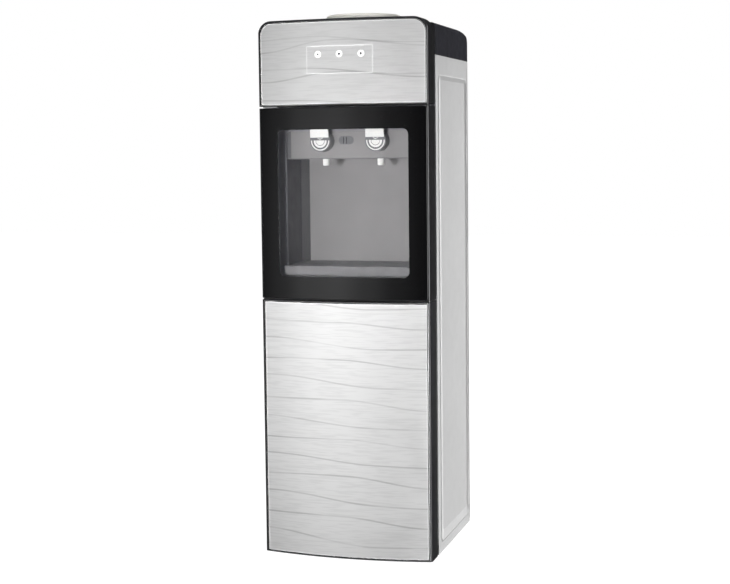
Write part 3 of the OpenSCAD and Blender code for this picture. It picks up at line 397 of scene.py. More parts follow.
@dataclass(frozen=True)
class PrintedGlass(Finish):
    """Tempered glass printed from behind in brushed silver, with pale lines like slow waves.

    Attributes:
        streak: colour of the fine dashes.
        line: colour of the waves.
        brushing: how much of the streak's colour shows in the dashes.
        dash: width of the dashes along X, Y and Z in millimetres.
        sway: width of the waves' slow drift along X, Y and Z in millimetres.
        drift: how far the waves drift up in millimetres.
        fading: width of the stretches in which a wave fades, along X, Y and Z in millimetres.
        stroke: distance from a wave's middle where it is full and where it ends, in millimetres.
        waves: families of lines.
    """

    roughness: float = 0.33
    relief: float = 0.0
    sockets: tuple[tuple[str, float], ...] = (
        ("Metallic", 0.6),
        ("Coat Weight", 0.5),
        ("Coat Roughness", 0.05),
    )
    streak: str = "#a5a5a5"
    line: str = "#808080"
    brushing: float = 0.16
    dash: Point = (34.0, 400.0, 2.4)
    sway: Point = (260.0, 400.0, 120.0)
    drift: float = 16.0
    fading: Point = (110.0, 400.0, 30.0)
    stroke: Span = (0.6, 1.8)
    waves: tuple[Wave, ...] = ()

    def tint(self, tree: bpy.types.NodeTree) -> Socket:
        """Silver print with its dashes and waves."""
        place = add_node(tree, "ShaderNodeTexCoord").outputs["Object"]
        split = add_node(tree, "ShaderNodeSeparateXYZ", (place,))
        across = add_node(tree, "ShaderNodeMath", (split, MM), operation="DIVIDE")
        level = add_node(tree, "ShaderNodeMath", (split.outputs[2], MM), operation="DIVIDE")
        brushed = noise(tree, self.dash, 1.0)
        dashes = add_node(tree, "ShaderNodeMapRange", (brushed, 0.42, 0.7, 0.0, self.brushing), **SMOOTH)
        colours = {0: dashes, 6: linear(self.colour), 7: linear(self.streak)}
        colour = add_node(tree, "ShaderNodeMix", colours, data_type="RGBA").outputs[2]
        swaying = noise(tree, self.sway, 0.0)
        drift = add_node(tree, "ShaderNodeMath", (swaying, self.drift), operation="MULTIPLY")
        for wave in self.waves:
            course = add_node(tree, "ShaderNodeMath", (level, drift), operation="ADD")
            for begin, end, rise in wave.bends:
                climb = add_node(tree, "ShaderNodeMapRange", (across, begin, end, 0.0, rise), **SMOOTH)
                course = add_node(tree, "ShaderNodeMath", (course, climb), operation="SUBTRACT")
            share = self.wave_share(tree, course, wave)
            colours = {0: share, 6: colour, 7: linear(self.line)}
            colour = add_node(tree, "ShaderNodeMix", colours, data_type="RGBA").outputs[2]
        return colour

    def wave_share(self, tree: bpy.types.NodeTree, course: bpy.types.Node, wave: Wave) -> bpy.types.Node:
        """Draws one family of lines.

        Args:
            tree: tree of the material.
            course: height on the panel, less the course of the lines.
            wave: the family.

        Returns:
            Node of the share of the line's colour.
        """
        offset = add_node(tree, "ShaderNodeMath", (course, wave.start), operation="SUBTRACT")
        distance = add_node(tree, "ShaderNodeMath", (offset, wave.pitch / 2), operation="PINGPONG")
        stretches = noise(tree, self.fading, 1.0)
        faded = add_node(tree, "ShaderNodeMapRange", (stretches, 0.3, 0.65, 0.35, 1.0), **SMOOTH)
        strength = add_node(tree, "ShaderNodeMath", (faded, wave.strength), operation="MULTIPLY")
        near = add_node(tree, "ShaderNodeMapRange", (distance, *self.stroke, 1.0, 0.0), **SMOOTH)
        return add_node(tree, "ShaderNodeMath", (near, strength), operation="MULTIPLY")


LEFT_FALL = (-140.0, 60.0, -17.0)
RIGHT_FALL = (0.0, 150.0, -13.0)
LEFT_RISE = (-140.0, -20.0, 14.0)
MIDDLE_FALL = (-60.0, 110.0, -15.0)

# Tempered glass, brushed silver print behind it: head
HEAD_PRINT = PrintedGlass(
    "silver printed glass head",
    "#d4d4d4",
    waves=(Wave(54.0, 858.0, (LEFT_RISE, RIGHT_FALL), 0.46), Wave(54.0, 826.0, (MIDDLE_FALL,), 0.4)),
)
# Tempered glass, brushed silver print behind it: lower door
DOOR_PRINT = PrintedGlass(
    "silver printed glass door",
    "#e3e3e3",
    waves=(Wave(70.0, 20.0, (RIGHT_FALL,), 0.42), Wave(70.0, 59.0, (LEFT_FALL,), 0.4)),
)
FINISHES: dict[Slot, Finish] = {
    # Powder-coated steel sheet: light grey, satin, with a slight orange peel
    Slot.SIDE_PAINT: Finish("powder coated steel", "#c4c4c4", 0.36, grain=1.6, mottle="#c1c1c1", patch=180.0),
    # Hot-dip galvanised sheet: grey crystals, half matt
    Slot.ZINC_STEEL: Galvanised(
        "galvanised steel", "#b4b7b9", 0.42, relief=0.01, mottle="#a3a7aa", sockets=METAL
    ),
    # Bright zinc-plated and stainless steel: rolled lines, mirror-like between them
    Slot.BRIGHT_STEEL: Drawn(
        "bright steel", "#cfd0d2", 0.24, relief=0.006, mottle="#c5c6c8", sockets=METAL
    ),
    # Stove enamel on the compressor and the condenser: black, half gloss, dusty on top
    Slot.BLACK_PAINT: Stoved("black stove enamel", "#141415", 0.38),
    # Drawn copper tube: orange metal, browner where the air has dulled it
    Slot.COPPER: Finish(
        "drawn copper tube", "#c8794f", 0.33, relief=0.008, mottle="#9a5636", patch=22.0, sockets=METAL
    ),
    # ABS with a spark-eroded grain: charcoal, satin
    Slot.COVER_BLACK: Finish(
        "grained charcoal ABS", "#1d1d21", 0.6, grain=0.8, relief=0.03, mottle="#1f1f24"
    ),
    # Polished ABS: near black, glossy
    Slot.FRAME_BLACK: Finish("polished black ABS", "#1d1d1f", 0.32, relief=0.004, mottle="#1b1b1d"),
    # ABS with a fine grain: dark grey, satin
    Slot.FRAME_GREY: Finish("grained grey ABS", "#29292b", 0.36, grain=0.7, relief=0.015, mottle="#272729"),
    # Tempered glass printed from behind in brushed silver
    Slot.PANEL_SILVER: DOOR_PRINT,
    # Tempered glass printed from behind, dark outside the window
    Slot.DOOR_GLASS: Finish("black printed glass", "#070708", 0.09, grain=40.0, relief=0.01),
    # ABS: mid grey, satin; the cheeks at the sides and the slanted corners are painted darker, painted shade
    Slot.BAY_GREY: PaintedShadeLiner("bay ABS with painted shade", "#929091", 0.42, grain=0.8, relief=0.015, mottle="#8e8c8d"),
    # ABS: grey with a blue cast, satin; painted lighter than the part is, painted light that offsets the
    # shade behind the window's border
    Slot.FASCIA_GREY: Finish("fascia ABS with painted light", "#8e8d93", 0.42, grain=0.8, mottle="#8a898f"),
    # ABS: mid grey, glossier where hands touch it; the strip along the hood's lower edge in it is painted
    # shade
    Slot.TAP_GREY: Finish(
        "tap grey ABS", "#77777a", 0.33, grain=0.6, relief=0.01, mottle="#737376", patch=12.0
    ),
    # ABS: grey, satin, with faint water marks
    Slot.TRAY_GREY: Finish("tray grey ABS", "#848385", 0.38, grain=0.8, mottle="#7d7c7e", patch=18.0),
    # ABS: clean white, half gloss
    Slot.WHITE_PLASTIC: Finish("white ABS", "#f4f4f3", 0.33, relief=0.006, mottle="#f0f0ee", patch=30.0),
    # Polypropylene: warm white, a little waxy
    Slot.IVORY_PLASTIC: Finish("ivory polypropylene", "#dcdad4", 0.38, grain=1.0, mottle="#d7d5ce"),
    # Vacuum-formed polystyrene: pale grey, satin, a little darker in patches
    Slot.LINER_PLASTIC: Finish(
        "vacuum formed polystyrene", "#c9caca", 0.45, grain=1.4, relief=0.03, mottle="#c2c3c3", patch=90.0
    ),
    # Expanded polystyrene: white beads about 4 mm across
    Slot.FOAM: Beads("expanded polystyrene", "#f1f0ec", 0.75, grain=4.0, relief=0.35, mottle="#e8e6e0"),
    # Glass-fibre board with green solder mask: satin green, paler lines over the tracks
    Slot.BOARD_GREEN: Board("green circuit board", "#0f5b35", 0.35, mottle="#2c8552"),
    # Food-grade silicone tube: milky, soft sheen
    Slot.SILICONE: Finish(
        "milky silicone",
        "#e9e9e6",
        0.38,
        relief=0.01,
        mottle="#dededa",
        sockets=(("Subsurface Weight", 0.25),),
    ),
    # Moulded rubber: black, matt, with a fine skin; the black strips in the door gaps in it are painted shade
    Slot.BLACK_RUBBER: Finish(
        "black rubber", "#1a1a1a", 0.75, grain=0.7, relief=0.03, mottle="#222222", patch=9.0
    ),
    # Glass-filled nylon: black, dull
    Slot.BLACK_PLASTIC: Finish("black nylon", "#1d1d1f", 0.5, grain=0.7, mottle="#242426", patch=15.0),
    # Polycarbonate of the heating switch: signal red, glossy
    Slot.ROCKER_RED: Finish("red polycarbonate", "#b5221c", 0.22, relief=0.003, mottle="#ab1e19", patch=8.0),
    # Polycarbonate of the cooling switch: green, glossy
    Slot.ROCKER_GREEN: Finish(
        "green polycarbonate", "#1f7a3c", 0.22, relief=0.003, mottle="#1b7237", patch=8.0
    ),
}
# Tempered glass, grey in its mass: most light passes, a little is held back
WINDOW_GLASS = Finish("grey tinted glass", "#2a2c2f", 0.04, relief=0.0, sockets=(("Alpha", 0.12),))
# Screen-printed enamel on glass: opaque white, half gloss; where it runs as a pale line along a glass's edge
# it is a painted highlight of the polished edge
PRINT_WHITE = Finish("white print enamel", "#e4e4e4", 0.35, relief=0.004, mottle="#e0e0e0")
# Screen-printed enamel along the edges of the glass: black, half gloss
PRINT_BLACK = Finish("black print enamel", "#0c0c0d", 0.35, relief=0.004, mottle="#0a0a0b")
# Pad-printed enamel on the lenses: dark grey, satin; on the hood's plate the same enamel is painted shade in
# slots beside the ribs
PRINT_DARK = Finish("dark print enamel", "#3a3a3e", 0.4, relief=0.004, mottle="#34343a")


class Paintbox:
    """Makes each material once and hands it out."""

    def __init__(self) -> None:
        """Starts with no materials."""
        self.made: dict[Finish, bpy.types.Material] = {}

    def get(self, finish: Finish) -> bpy.types.Material:
        """Returns the material of a finish."""
        if finish not in self.made:
            self.made[finish] = finish.build()
        return self.made[finish]


@dataclass(frozen=True)
class Bow:
    """Front of the dispenser in plan: a circle through both corners and the bowed middle.

    Attributes:
        half: half width in millimetres.
        depth: how far the middle stands out in millimetres.
    """

    half: float = 155.0
    depth: float = 17.0

    @property
    def radius(self) -> float:
        """Radius of the circle."""
        return (self.half**2 + self.depth**2) / (2 * self.depth)

    def y(self, x: float) -> float:
        """Depth of the front at a distance from the middle."""
        return self.radius - self.depth - math.sqrt(self.radius**2 - x * x)


BOW = Bow()


class Workpiece:
    """A mesh in the making, drawn in millimetres with bmesh operators."""

    def __init__(self, name: str) -> None:
        """Starts an empty mesh of that name."""
        self.name = name
        self.bm = bmesh.new()

    def round_off(self, edges: Iterable[bmesh.types.BMEdge], width: float, segments: int = 3) -> None:
        """Rounds edges over a width in millimetres."""
        bmesh.ops.bevel(
            self.bm,
            geom=list(edges),
            offset=width,
            offset_type="OFFSET",
            affect="EDGES",
            segments=segments,
            profile=0.5,
            material=-1,
            clamp_overlap=True,
        )

    def block(self, low: Point, high: Point, edge: float = 0.0, segments: int = 3) -> None:
        """Adds a box between two corners, its edges rounded.

        Args:
            low: lowest corner.
            high: highest corner.
            edge: width of the rounding.
            segments: steps of the rounding.
        """
        verts = bmesh.ops.create_cube(self.bm, size=1.0)["verts"]
        bmesh.ops.scale(self.bm, vec=Vector(high) - Vector(low), verts=verts)
        bmesh.ops.translate(self.bm, vec=(Vector(high) + Vector(low)) / 2, verts=verts)
        if edge:
            self.round_off({e for v in verts for e in v.link_edges}, edge, segments)

    def rod(self, start: Point, end: Point, radius: float, sides: int = 32, edge: float = 0.0) -> None:
        """Adds a round bar with rounded rims.

        Args:
            start: centre of one end.
            end: centre of the other end.
            radius: radius of the bar.
            sides: number of its sides.
            edge: width of the rims' rounding.
        """
        axis = Vector(end) - Vector(start)
        turn = axis.to_track_quat("Z", "Y").to_matrix().to_4x4()
        matrix = Matrix.Translation((Vector(start) + Vector(end)) / 2) @ turn
        made = bmesh.ops.create_cone(
            self.bm,
            cap_ends=True,
            segments=sides,
            radius1=radius,
            radius2=radius,
            depth=axis.length,
            matrix=matrix,
        )["verts"]
        if edge:
            faces = {f for v in made for f in v.link_faces if len(f.verts) > 4}
            self.round_off({e for f in faces for e in f.edges}, edge)

    def lathe(self, outline: Sequence[Span], centre: Point, steps: int = 64) -> None:
        """Turns a closed outline about an upright axis.

        Args:
            outline: radius and height of each point.
            centre: point of the axis at height 0.
            steps: steps of the whole turn.
        """
        x, y, z = centre
        verts = [self.bm.verts.new((x + r, y, z + h)) for r, h in outline]
        pairs = list(zip(verts, verts[1:]))
        if outline[0][0] > 0 or outline[-1][0] > 0:
            pairs.append((verts[-1], verts[0]))
        edges = [self.bm.edges.new(pair) for pair in pairs]
        bmesh.ops.spin(
            self.bm,
            geom=verts + edges,
            cent=centre,
            axis=(0.0, 0.0, 1.0),
            angle=WHOLE_TURN,
            steps=steps,
            use_merge=True,
        )
        poles = [v for v in self.bm.verts if math.hypot(v.co.x - x, v.co.y - y) < 1e-4]
        bmesh.ops.remove_doubles(self.bm, verts=poles, dist=1e-3)

    def outline(self, corners: Sequence[Point], depth: float) -> bmesh.types.BMFace:
        """Draws a face in X and Z with rounded corners.

        Args:
            corners: X, Z and radius of each corner.
            depth: Y of the face.

        Returns:
            The face.
        """
        before = set(self.bm.faces)
        verts = [self.bm.verts.new((x, depth, z)) for x, z, _ in corners]
        self.bm.faces.new(verts)
        for vert, (_, _, radius) in zip(verts, corners):
            if radius:
                bmesh.ops.bevel(
                    self.bm,
                    geom=[vert],
                    offset=radius,
                    offset_type="OFFSET",
                    affect="VERTICES",
                    segments=max(3, round(radius / 2)),
                    profile=0.5,
                    material=-1,
                )
        return next(f for f in self.bm.faces if f not in before)

    def thicken(self, faces: Sequence[bmesh.types.BMFace], reach: Point, edge: float = 0.0) -> None:
        """Makes faces solid along a direction and rounds the rim that they started from.

        Args:
            faces: faces that lie in one plane.
            reach: way from the faces to the other side.
            edge: width of the rim's rounding.
        """
        start = set(faces)
        rim = [e for f in faces for e in f.edges if sum(g in start for g in e.link_faces) == 1]
        made = bmesh.ops.extrude_face_region(self.bm, geom=list(faces), use_keep_orig=True)["geom"]
        moved = [g for g in made if isinstance(g, bmesh.types.BMVert)]
        bmesh.ops.translate(self.bm, vec=reach, verts=moved)
        if edge:
            self.round_off([e for e in rim if e.is_valid], edge, 2)

    def plate(self, corners: Sequence[Point], front: float, back: float, edge: float = 0.0) -> None:
        """Adds an upright plate whose outline is drawn in X and Z.

        Args:
            corners: X, Z and radius of each corner.
            front: Y of the front.
            back: Y of the back.
            edge: width of the front rim's rounding.
        """
        self.thicken([self.outline(corners, front)], (0.0, back - front, 0.0), edge)

    def ring(
        self, corners: Sequence[Point], width: float, front: float, back: float, edge: float = 0.0
    ) -> None:
        """Adds an upright flat ring.

        Args:
            corners: X, Z and radius of each outer corner.
            width: width of the ring.
            front: Y of the front.
            back: Y of the back.
            edge: width of the front rims' rounding.
        """
        inner = self.outline(corners, front)
        made = bmesh.ops.inset_region(
            self.bm, faces=[inner], thickness=width, use_boundary=True, use_even_offset=True
        )["faces"]
        bmesh.ops.delete(self.bm, geom=[inner], context="FACES_ONLY")
        self.thicken(made, (0.0, back - front, 0.0), edge)

    def prism(self, points: Sequence[Point], reach: Point, edge: float = 0.0, segments: int = 3) -> None:
        """Adds a solid from a flat outline, all its edges rounded.

        Args:
            points: corners of the outline.
            reach: way from the outline to the other side.
            edge: width of the rounding.
            segments: steps of the rounding.
        """
        verts = [self.bm.verts.new(p) for p in points]
        face = self.bm.faces.new(verts)
        made = bmesh.ops.extrude_face_region(self.bm, geom=[face], use_keep_orig=True)["geom"]
        moved = [g for g in made if isinstance(g, bmesh.types.BMVert)]
        bmesh.ops.translate(self.bm, vec=reach, verts=moved)
        if edge:
            self.round_off({e for v in (*verts, *moved) for e in v.link_edges}, edge, segments)

    def coil(
        self, centre: Point, radius: float, wire: float, rise: float, turns: int, sides: int = 8
    ) -> None:
        """Adds a wire wound round an upright axis.

        Args:
            centre: point of the axis at the height where the wire starts.
            radius: radius of the winding.
            wire: radius of the wire.
            rise: height that the winding gains.
            turns: number of turns.
            sides: sides of the wire.
        """
        steps = 24 * turns
        upright = Matrix.Rotation(math.pi / 2, 4, "X")
        start = Matrix.Translation(Vector(centre) + Vector((radius, 0.0, 0.0))) @ upright
        made = bmesh.ops.create_circle(
            self.bm, cap_ends=True, radius=wire, segments=sides, matrix=start
        )["verts"]
        first = next(iter(made[0].link_faces))
        bmesh.ops.duplicate(self.bm, geom=[*made, *first.edges, first])
        bmesh.ops.spin(
            self.bm,
            geom=[first],
            cent=centre,
            axis=(0.0, 0.0, 1.0),
            dvec=(0.0, 0.0, rise / steps),
            angle=WHOLE_TURN * turns,
            steps=steps,
        )
        bmesh.ops.remove_doubles(self.bm, verts=self.bm.verts, dist=1e-4)

    def merge(self, other: "Workpiece", matrix: Matrix) -> None:
        """Adds a copy of another workpiece's mesh, placed by a matrix."""
        mesh = bpy.data.meshes.new("copy")
        other.bm.to_mesh(mesh)
        mesh.transform(matrix)
        self.bm.from_mesh(mesh)
        bpy.data.meshes.remove(mesh)

    def cut(self, tool: "Workpiece") -> None:
        """Cuts another workpiece's solid out of this one."""
        objects = []
        for piece in (self, tool):
            bmesh.ops.recalc_face_normals(piece.bm, faces=piece.bm.faces)
            mesh = bpy.data.meshes.new("cutting")
            piece.bm.to_mesh(mesh)
            objects.append(bpy.data.objects.new("cutting", mesh))
            bpy.context.scene.collection.objects.link(objects[-1])
        modifier = objects[0].modifiers.new("Cut", "BOOLEAN")
        modifier.object = objects[1]
        modifier.solver = "EXACT"
        bpy.context.view_layer.update()
        graph = bpy.context.evaluated_depsgraph_get()
        result = bpy.data.meshes.new_from_object(objects[0].evaluated_get(graph))
        self.bm.clear()
        self.bm.from_mesh(result)
        for obj in objects:
            bpy.data.objects.remove(obj)
        tool.bm.free()

    def bow(self, stations: int = 60) -> None:
        """Divides the mesh across the whole width and bends it to follow the front."""
        span = 2 * BOW.half
        for k in range(1, stations):
            geometry = [*self.bm.verts, *self.bm.edges, *self.bm.faces]
            at = (-BOW.half + span * k / stations, 0.0, 0.0)
            bmesh.ops.bisect_plane(self.bm, geom=geometry, dist=1e-4, plane_co=at, plane_no=(1.0, 0.0, 0.0))
        for vert in self.bm.verts:
            vert.co.y += BOW.y(vert.co.x)

    def place(
        self,
        body: Body,
        slot: Slot,
        paints: Paintbox,
        replaces: Sequence[str] = (),
        finish: Finish | None = None,
        sharp: float = 32.0,
    ) -> bpy.types.Object:
        """Makes the mesh a piece of the dispenser.

        Args:
            body: body that it rides on.
            slot: material slot of the record.
            paints: materials.
            replaces: CAD nodes that it stands for.
            finish: its finish, where that isn't the slot's own.
            sharp: angle in degrees from which an edge stays sharp.

        Returns:
            The piece.
        """
        bmesh.ops.recalc_face_normals(self.bm, faces=self.bm.faces)
        settle = Matrix.Scale(MM, 4) @ Matrix.Translation(SETTLE)
        bmesh.ops.transform(self.bm, matrix=settle, verts=self.bm.verts)
        for face in self.bm.faces:
            face.smooth = True
        for edge in self.bm.edges:
            edge.smooth = len(edge.link_faces) == 2 and edge.calc_face_angle(0.0) < math.radians(sharp)
        mesh = bpy.data.meshes.new(self.name)
        self.bm.to_mesh(mesh)
        self.bm.free()
        mesh.materials.append(paints.get(finish or FINISHES[slot]))
        obj = bpy.data.objects.new(self.name, mesh)
        bpy.context.scene.collection.objects.link(obj)
        obj.modifiers.new("Weighted normals", "WEIGHTED_NORMAL").keep_sharp = True
        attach(obj, body.value)
        if replaces:
            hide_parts(*replaces)
        LOG.info("%s: %d faces on %s", self.name, len(mesh.polygons), body.value)
        return obj


def rectangle(
    half: float, low: float, high: float, foot: float = 0.0, top: float = 0.0, centre: float = 0.0
) -> list[Point]:
    """Corners of an upright rectangle.

    Args:
        half: half width.
        low: lower edge.
        high: upper edge.
        foot: radius of the lower corners.
        top: radius of the upper corners.
        centre: X of the middle.

    Returns:
        X, Z and radius of each corner.
    """
    left, right = centre - half, centre + half
    return [(left, low, foot), (right, low, foot), (right, high, top), (left, high, top)]


@dataclass
class GlassFront:
    """Bowed glass of the front and what is printed on it.

    Attributes:
        low: lower edge of the glass.
        high: upper edge of the glass.
        body: body that carries it.
        half: half width of the glass.
        sink: Y of the front of the glass.
        thickness: Y of its back.
        edge: width of the rounding of its front edge.
        print_y: Y of the front of a print.
        bite: how far a print reaches into the glass.
        rim: distance of the black border from the edge of the glass.
        border: width of the black border.
        gap: distance of the pale line, a painted highlight, from the edge of the glass, less the border's
            width.
        edge_highlight: width of the pale line, a painted highlight of the glass's polished edge.
    """

    low: float
    high: float
    body: Body
    half: float = 151.0
    sink: float = 0.1
    thickness: float = 3.95
    edge: float = 0.5
    print_y: float = 0.04
    bite: float = 0.1
    rim: float = 0.4
    border: float = 1.8
    gap: float = 0.5
    edge_highlight: float = 0.8

    def inner(self, inset: float, foot: float, top: float) -> list[Point]:
        """Corners of an outline at a distance inside the edge of the glass."""
        return rectangle(self.half - inset, self.low + inset, self.high - inset, foot, top)

    def glass(self, name: str, foot: float, top: float) -> Workpiece:
        """Cuts the glass, still flat.

        Args:
            name: name of the piece.
            foot: radius of its lower corners.
            top: radius of its upper corners.

        Returns:
            The glass.
        """
        glass = Workpiece(name)
        glass.plate(self.inner(0.0, foot, top), self.sink, self.thickness, self.edge)
        return glass

    def print_ring(
        self, name: str, corners: Sequence[Point], width: float, finish: Finish, paints: Paintbox
    ) -> None:
        """Prints a ring on the glass.

        Args:
            name: name of the piece.
            corners: X, Z and radius of each outer corner.
            width: width of the ring.
            finish: enamel of the print.
            paints: materials.
        """
        ring = Workpiece(name)
        ring.ring(corners, width, self.print_y, self.sink + self.bite)
        ring.bow()
        ring.place(self.body, Slot.PANEL_SILVER, paints, finish=finish)


@dataclass
class HeadFront(GlassFront):
    """Printed glass of the head with its indicator lenses.

    Attributes:
        corner: radius of the upper corners of the glass.
        lens_x: places of the lenses.
        lens_z: height of the lenses.
        lens_r: radius of a lens.
        lens_gap: gap between a lens and the glass.
        lens_y: how far a lens lies behind the bow, and Y of its back.
        window: half width, lower and upper edge of the printed outline.
        stroke: width of the printed outline.
        mark_y: how far a mark stands out of its lens, and how far it reaches back.
        dots: radius of the dots on the left and the middle lens.
        drop: outline of the water drop on the right lens, in X and Z from its middle.
    """

    low: float = 801.7
    high: float = 946.0
    body: Body = Body.CABINET
    thickness: float = 3.9
    border: float = 1.0
    corner: float = 22.0
    lens_x: tuple[float, ...] = (-39.0, 0.0, 39.0)
    lens_z: float = 888.5
    lens_r: float = 5.9
    lens_gap: float = 0.2
    lens_y: Span = (0.35, 4.7)
    window: Point = (60.0, 855.0, 903.0)
    stroke: float = 1.0
    mark_y: Span = (0.06, 0.3)
    dots: Span = (1.5, 2.0)
    drop: tuple[Span, ...] = (
        (0.0, 3.0),
        (-1.3, 0.6),
        (-1.9, -0.7),
        (-1.4, -1.9),
        (0.0, -2.4),
        (1.4, -1.9),
        (1.9, -0.7),
        (1.3, 0.6),
    )

    def build(self, paints: Paintbox) -> None:
        """Makes the glass, its prints and its lenses."""
        glass = self.glass("head_glass", 2.0, self.corner)
        holes = Workpiece("holes")
        for x in self.lens_x:
            start, end = (x, -2.0, self.lens_z), (x, self.thickness + 2.0, self.lens_z)
            holes.rod(start, end, self.lens_r + self.lens_gap, 48)
        glass.cut(holes)
        glass.bow()
        glass.place(self.body, Slot.PANEL_SILVER, paints, ["head_panel"], HEAD_PRINT)
        inset = self.border + self.gap
        border = self.inner(self.rim, 1.6, self.corner - self.rim)
        self.print_ring("head_edge_border", border, self.border, PRINT_BLACK, paints)
        # Pale line inside the border: painted highlight of the glass's polished edge
        line = self.inner(inset, 1.5, self.corner - inset)
        self.print_ring("head_edge_highlight", line, self.edge_highlight, PRINT_WHITE, paints)
        outline = rectangle(*self.window, 1.2, 1.2)
        self.print_ring("indicator_outline", outline, self.stroke, PRINT_WHITE, paints)
        self.lenses(paints)

    def lenses(self, paints: Paintbox) -> None:
        """Makes the lenses, slightly domed, with two dots and a water drop as dark marks."""
        lenses, marks = Workpiece("indicator_lens_domes"), Workpiece("indicator_marks")
        sink, back = self.lens_y
        for k, x in enumerate(self.lens_x):
            at = Vector((x, BOW.y(x) + sink, self.lens_z))
            lenses.rod(at, (x, back, self.lens_z), self.lens_r, 48, 0.3)
            proud, reach = Vector((0.0, self.mark_y[0], 0.0)), Vector((0.0, self.mark_y[1], 0.0))
            if k < 2:
                marks.rod(at - proud, at + reach, self.dots[k], 24)
            else:
                drop = [(x + across, at.y - self.mark_y[0], at.z + up) for across, up in self.drop]
                marks.prism(drop, reach)
        lenses.place(self.body, Slot.WHITE_PLASTIC, paints, ["indicator_lenses"])
        marks.place(self.body, Slot.WHITE_PLASTIC, paints, finish=PRINT_DARK)


@dataclass
class DoorSeal:
    """Magnetic bellows seal on the back of a door.

    Attributes:
        low: lower edge of the seal.
        high: upper edge of the seal.
        half: half width of its outer edge.
        back: Y of the door's back.
        contact: Y where it meets the cabinet.
        corner: radius of its corners.
        folds: foot, bellows and magnet strip's sleeve, each with its inset, width, and front and back
            behind the door's back.
    """

    low: float
    high: float
    half: float = 149.0
    back: float = 40.0
    contact: float = 48.2
    corner: float = 3.0
    folds: tuple[tuple[float, float, float, float], ...] = (
        (0.0, 7.0, 0.0, 2.0),
        (1.2, 4.6, 1.6, 4.2),
        (0.3, 6.4, 3.8, 5.2),
        (0.0, 7.0, 4.9, 8.2),
    )

    def build(self, name: str, body: Body, node: str, paints: Paintbox) -> None:
        """Makes the foot, the folded bellows and the magnet strip's sleeve.

        Args:
            name: name of the piece.
            body: door that carries it.
            node: CAD node that it stands for.
            paints: materials.
        """
        seal = Workpiece(name)
        for inset, width, near, far in self.folds:
            corners = rectangle(
                self.half - inset, self.low + inset, self.high - inset, self.corner, self.corner
            )
            seal.ring(corners, width, self.back + near, min(self.back + far, self.contact), 0.3)
        seal.place(body, Slot.BLACK_RUBBER, paints, [node])


@dataclass
class UpperDoor(GlassFront):
    """Black printed glass of the upper door with its clear window.

    Attributes:
        window: half width, lower and upper edge of the window.
        radius: radius of the window's corners.
        seam: gap between the print and the window.
        seal: its seal.
    """

    low: float = 462.2
    high: float = 796.3
    body: Body = Body.UPPER_DOOR
    sink: float = 0.05
    window: Point = (119.5, 501.0, 759.0)
    radius: float = 10.0
    seam: float = 0.02
    seal: DoorSeal = field(default_factory=lambda: DoorSeal(467.0, 791.5))

    def build(self, paints: Paintbox) -> None:
        """Makes the glass with its window, and the seal."""
        half, low, high = self.window
        border = self.glass("upper_door_print", 1.5, 1.5)
        hole = Workpiece("hole")
        hole.plate(rectangle(*self.window, self.radius, self.radius), -1.0, self.thickness + 1.0)
        border.cut(hole)
        border.bow()
        border.place(self.body, Slot.DOOR_GLASS, paints, ["upper_door_glass"])
        pane = Workpiece("upper_door_window")
        inner = rectangle(half - self.seam, low + self.seam, high - self.seam, self.radius, self.radius)
        pane.plate(inner, self.sink, self.thickness)
        pane.bow()
        pane.place(self.body, Slot.DOOR_GLASS, paints, ["upper_door_glass"], WINDOW_GLASS)
        self.seal.build("upper_door_seal", self.body, "upper_door_gasket", paints)


@dataclass
class LowerDoor(GlassFront):
    """Silver printed glass of the lower door.

    Attributes:
        seal: its seal.
    """

    low: float = 1.7
    high: float = 456.8
    body: Body = Body.LOWER_DOOR
    seal: DoorSeal = field(default_factory=lambda: DoorSeal(6.5, 452.0))

    def build(self, paints: Paintbox) -> None:
        """Makes the glass, its printed border, a pale line that is a painted highlight of its edge, and the
        seal.
        """
        glass = self.glass("lower_door_print", 1.5, 1.5)
        glass.bow()
        glass.place(self.body, Slot.PANEL_SILVER, paints, ["lower_door_panel"])
        border, line = self.inner(self.rim, 1.2, 1.2), self.inner(self.border + self.gap, 1.2, 1.2)
        self.print_ring("lower_door_edge_border", border, self.border, PRINT_BLACK, paints)
        # Pale line inside the border: painted highlight of the glass's polished edge
        self.print_ring("lower_door_edge_highlight", line, self.edge_highlight, PRINT_WHITE, paints)
        self.seal.build("lower_door_seal", self.body, "lower_door_gasket", paints)


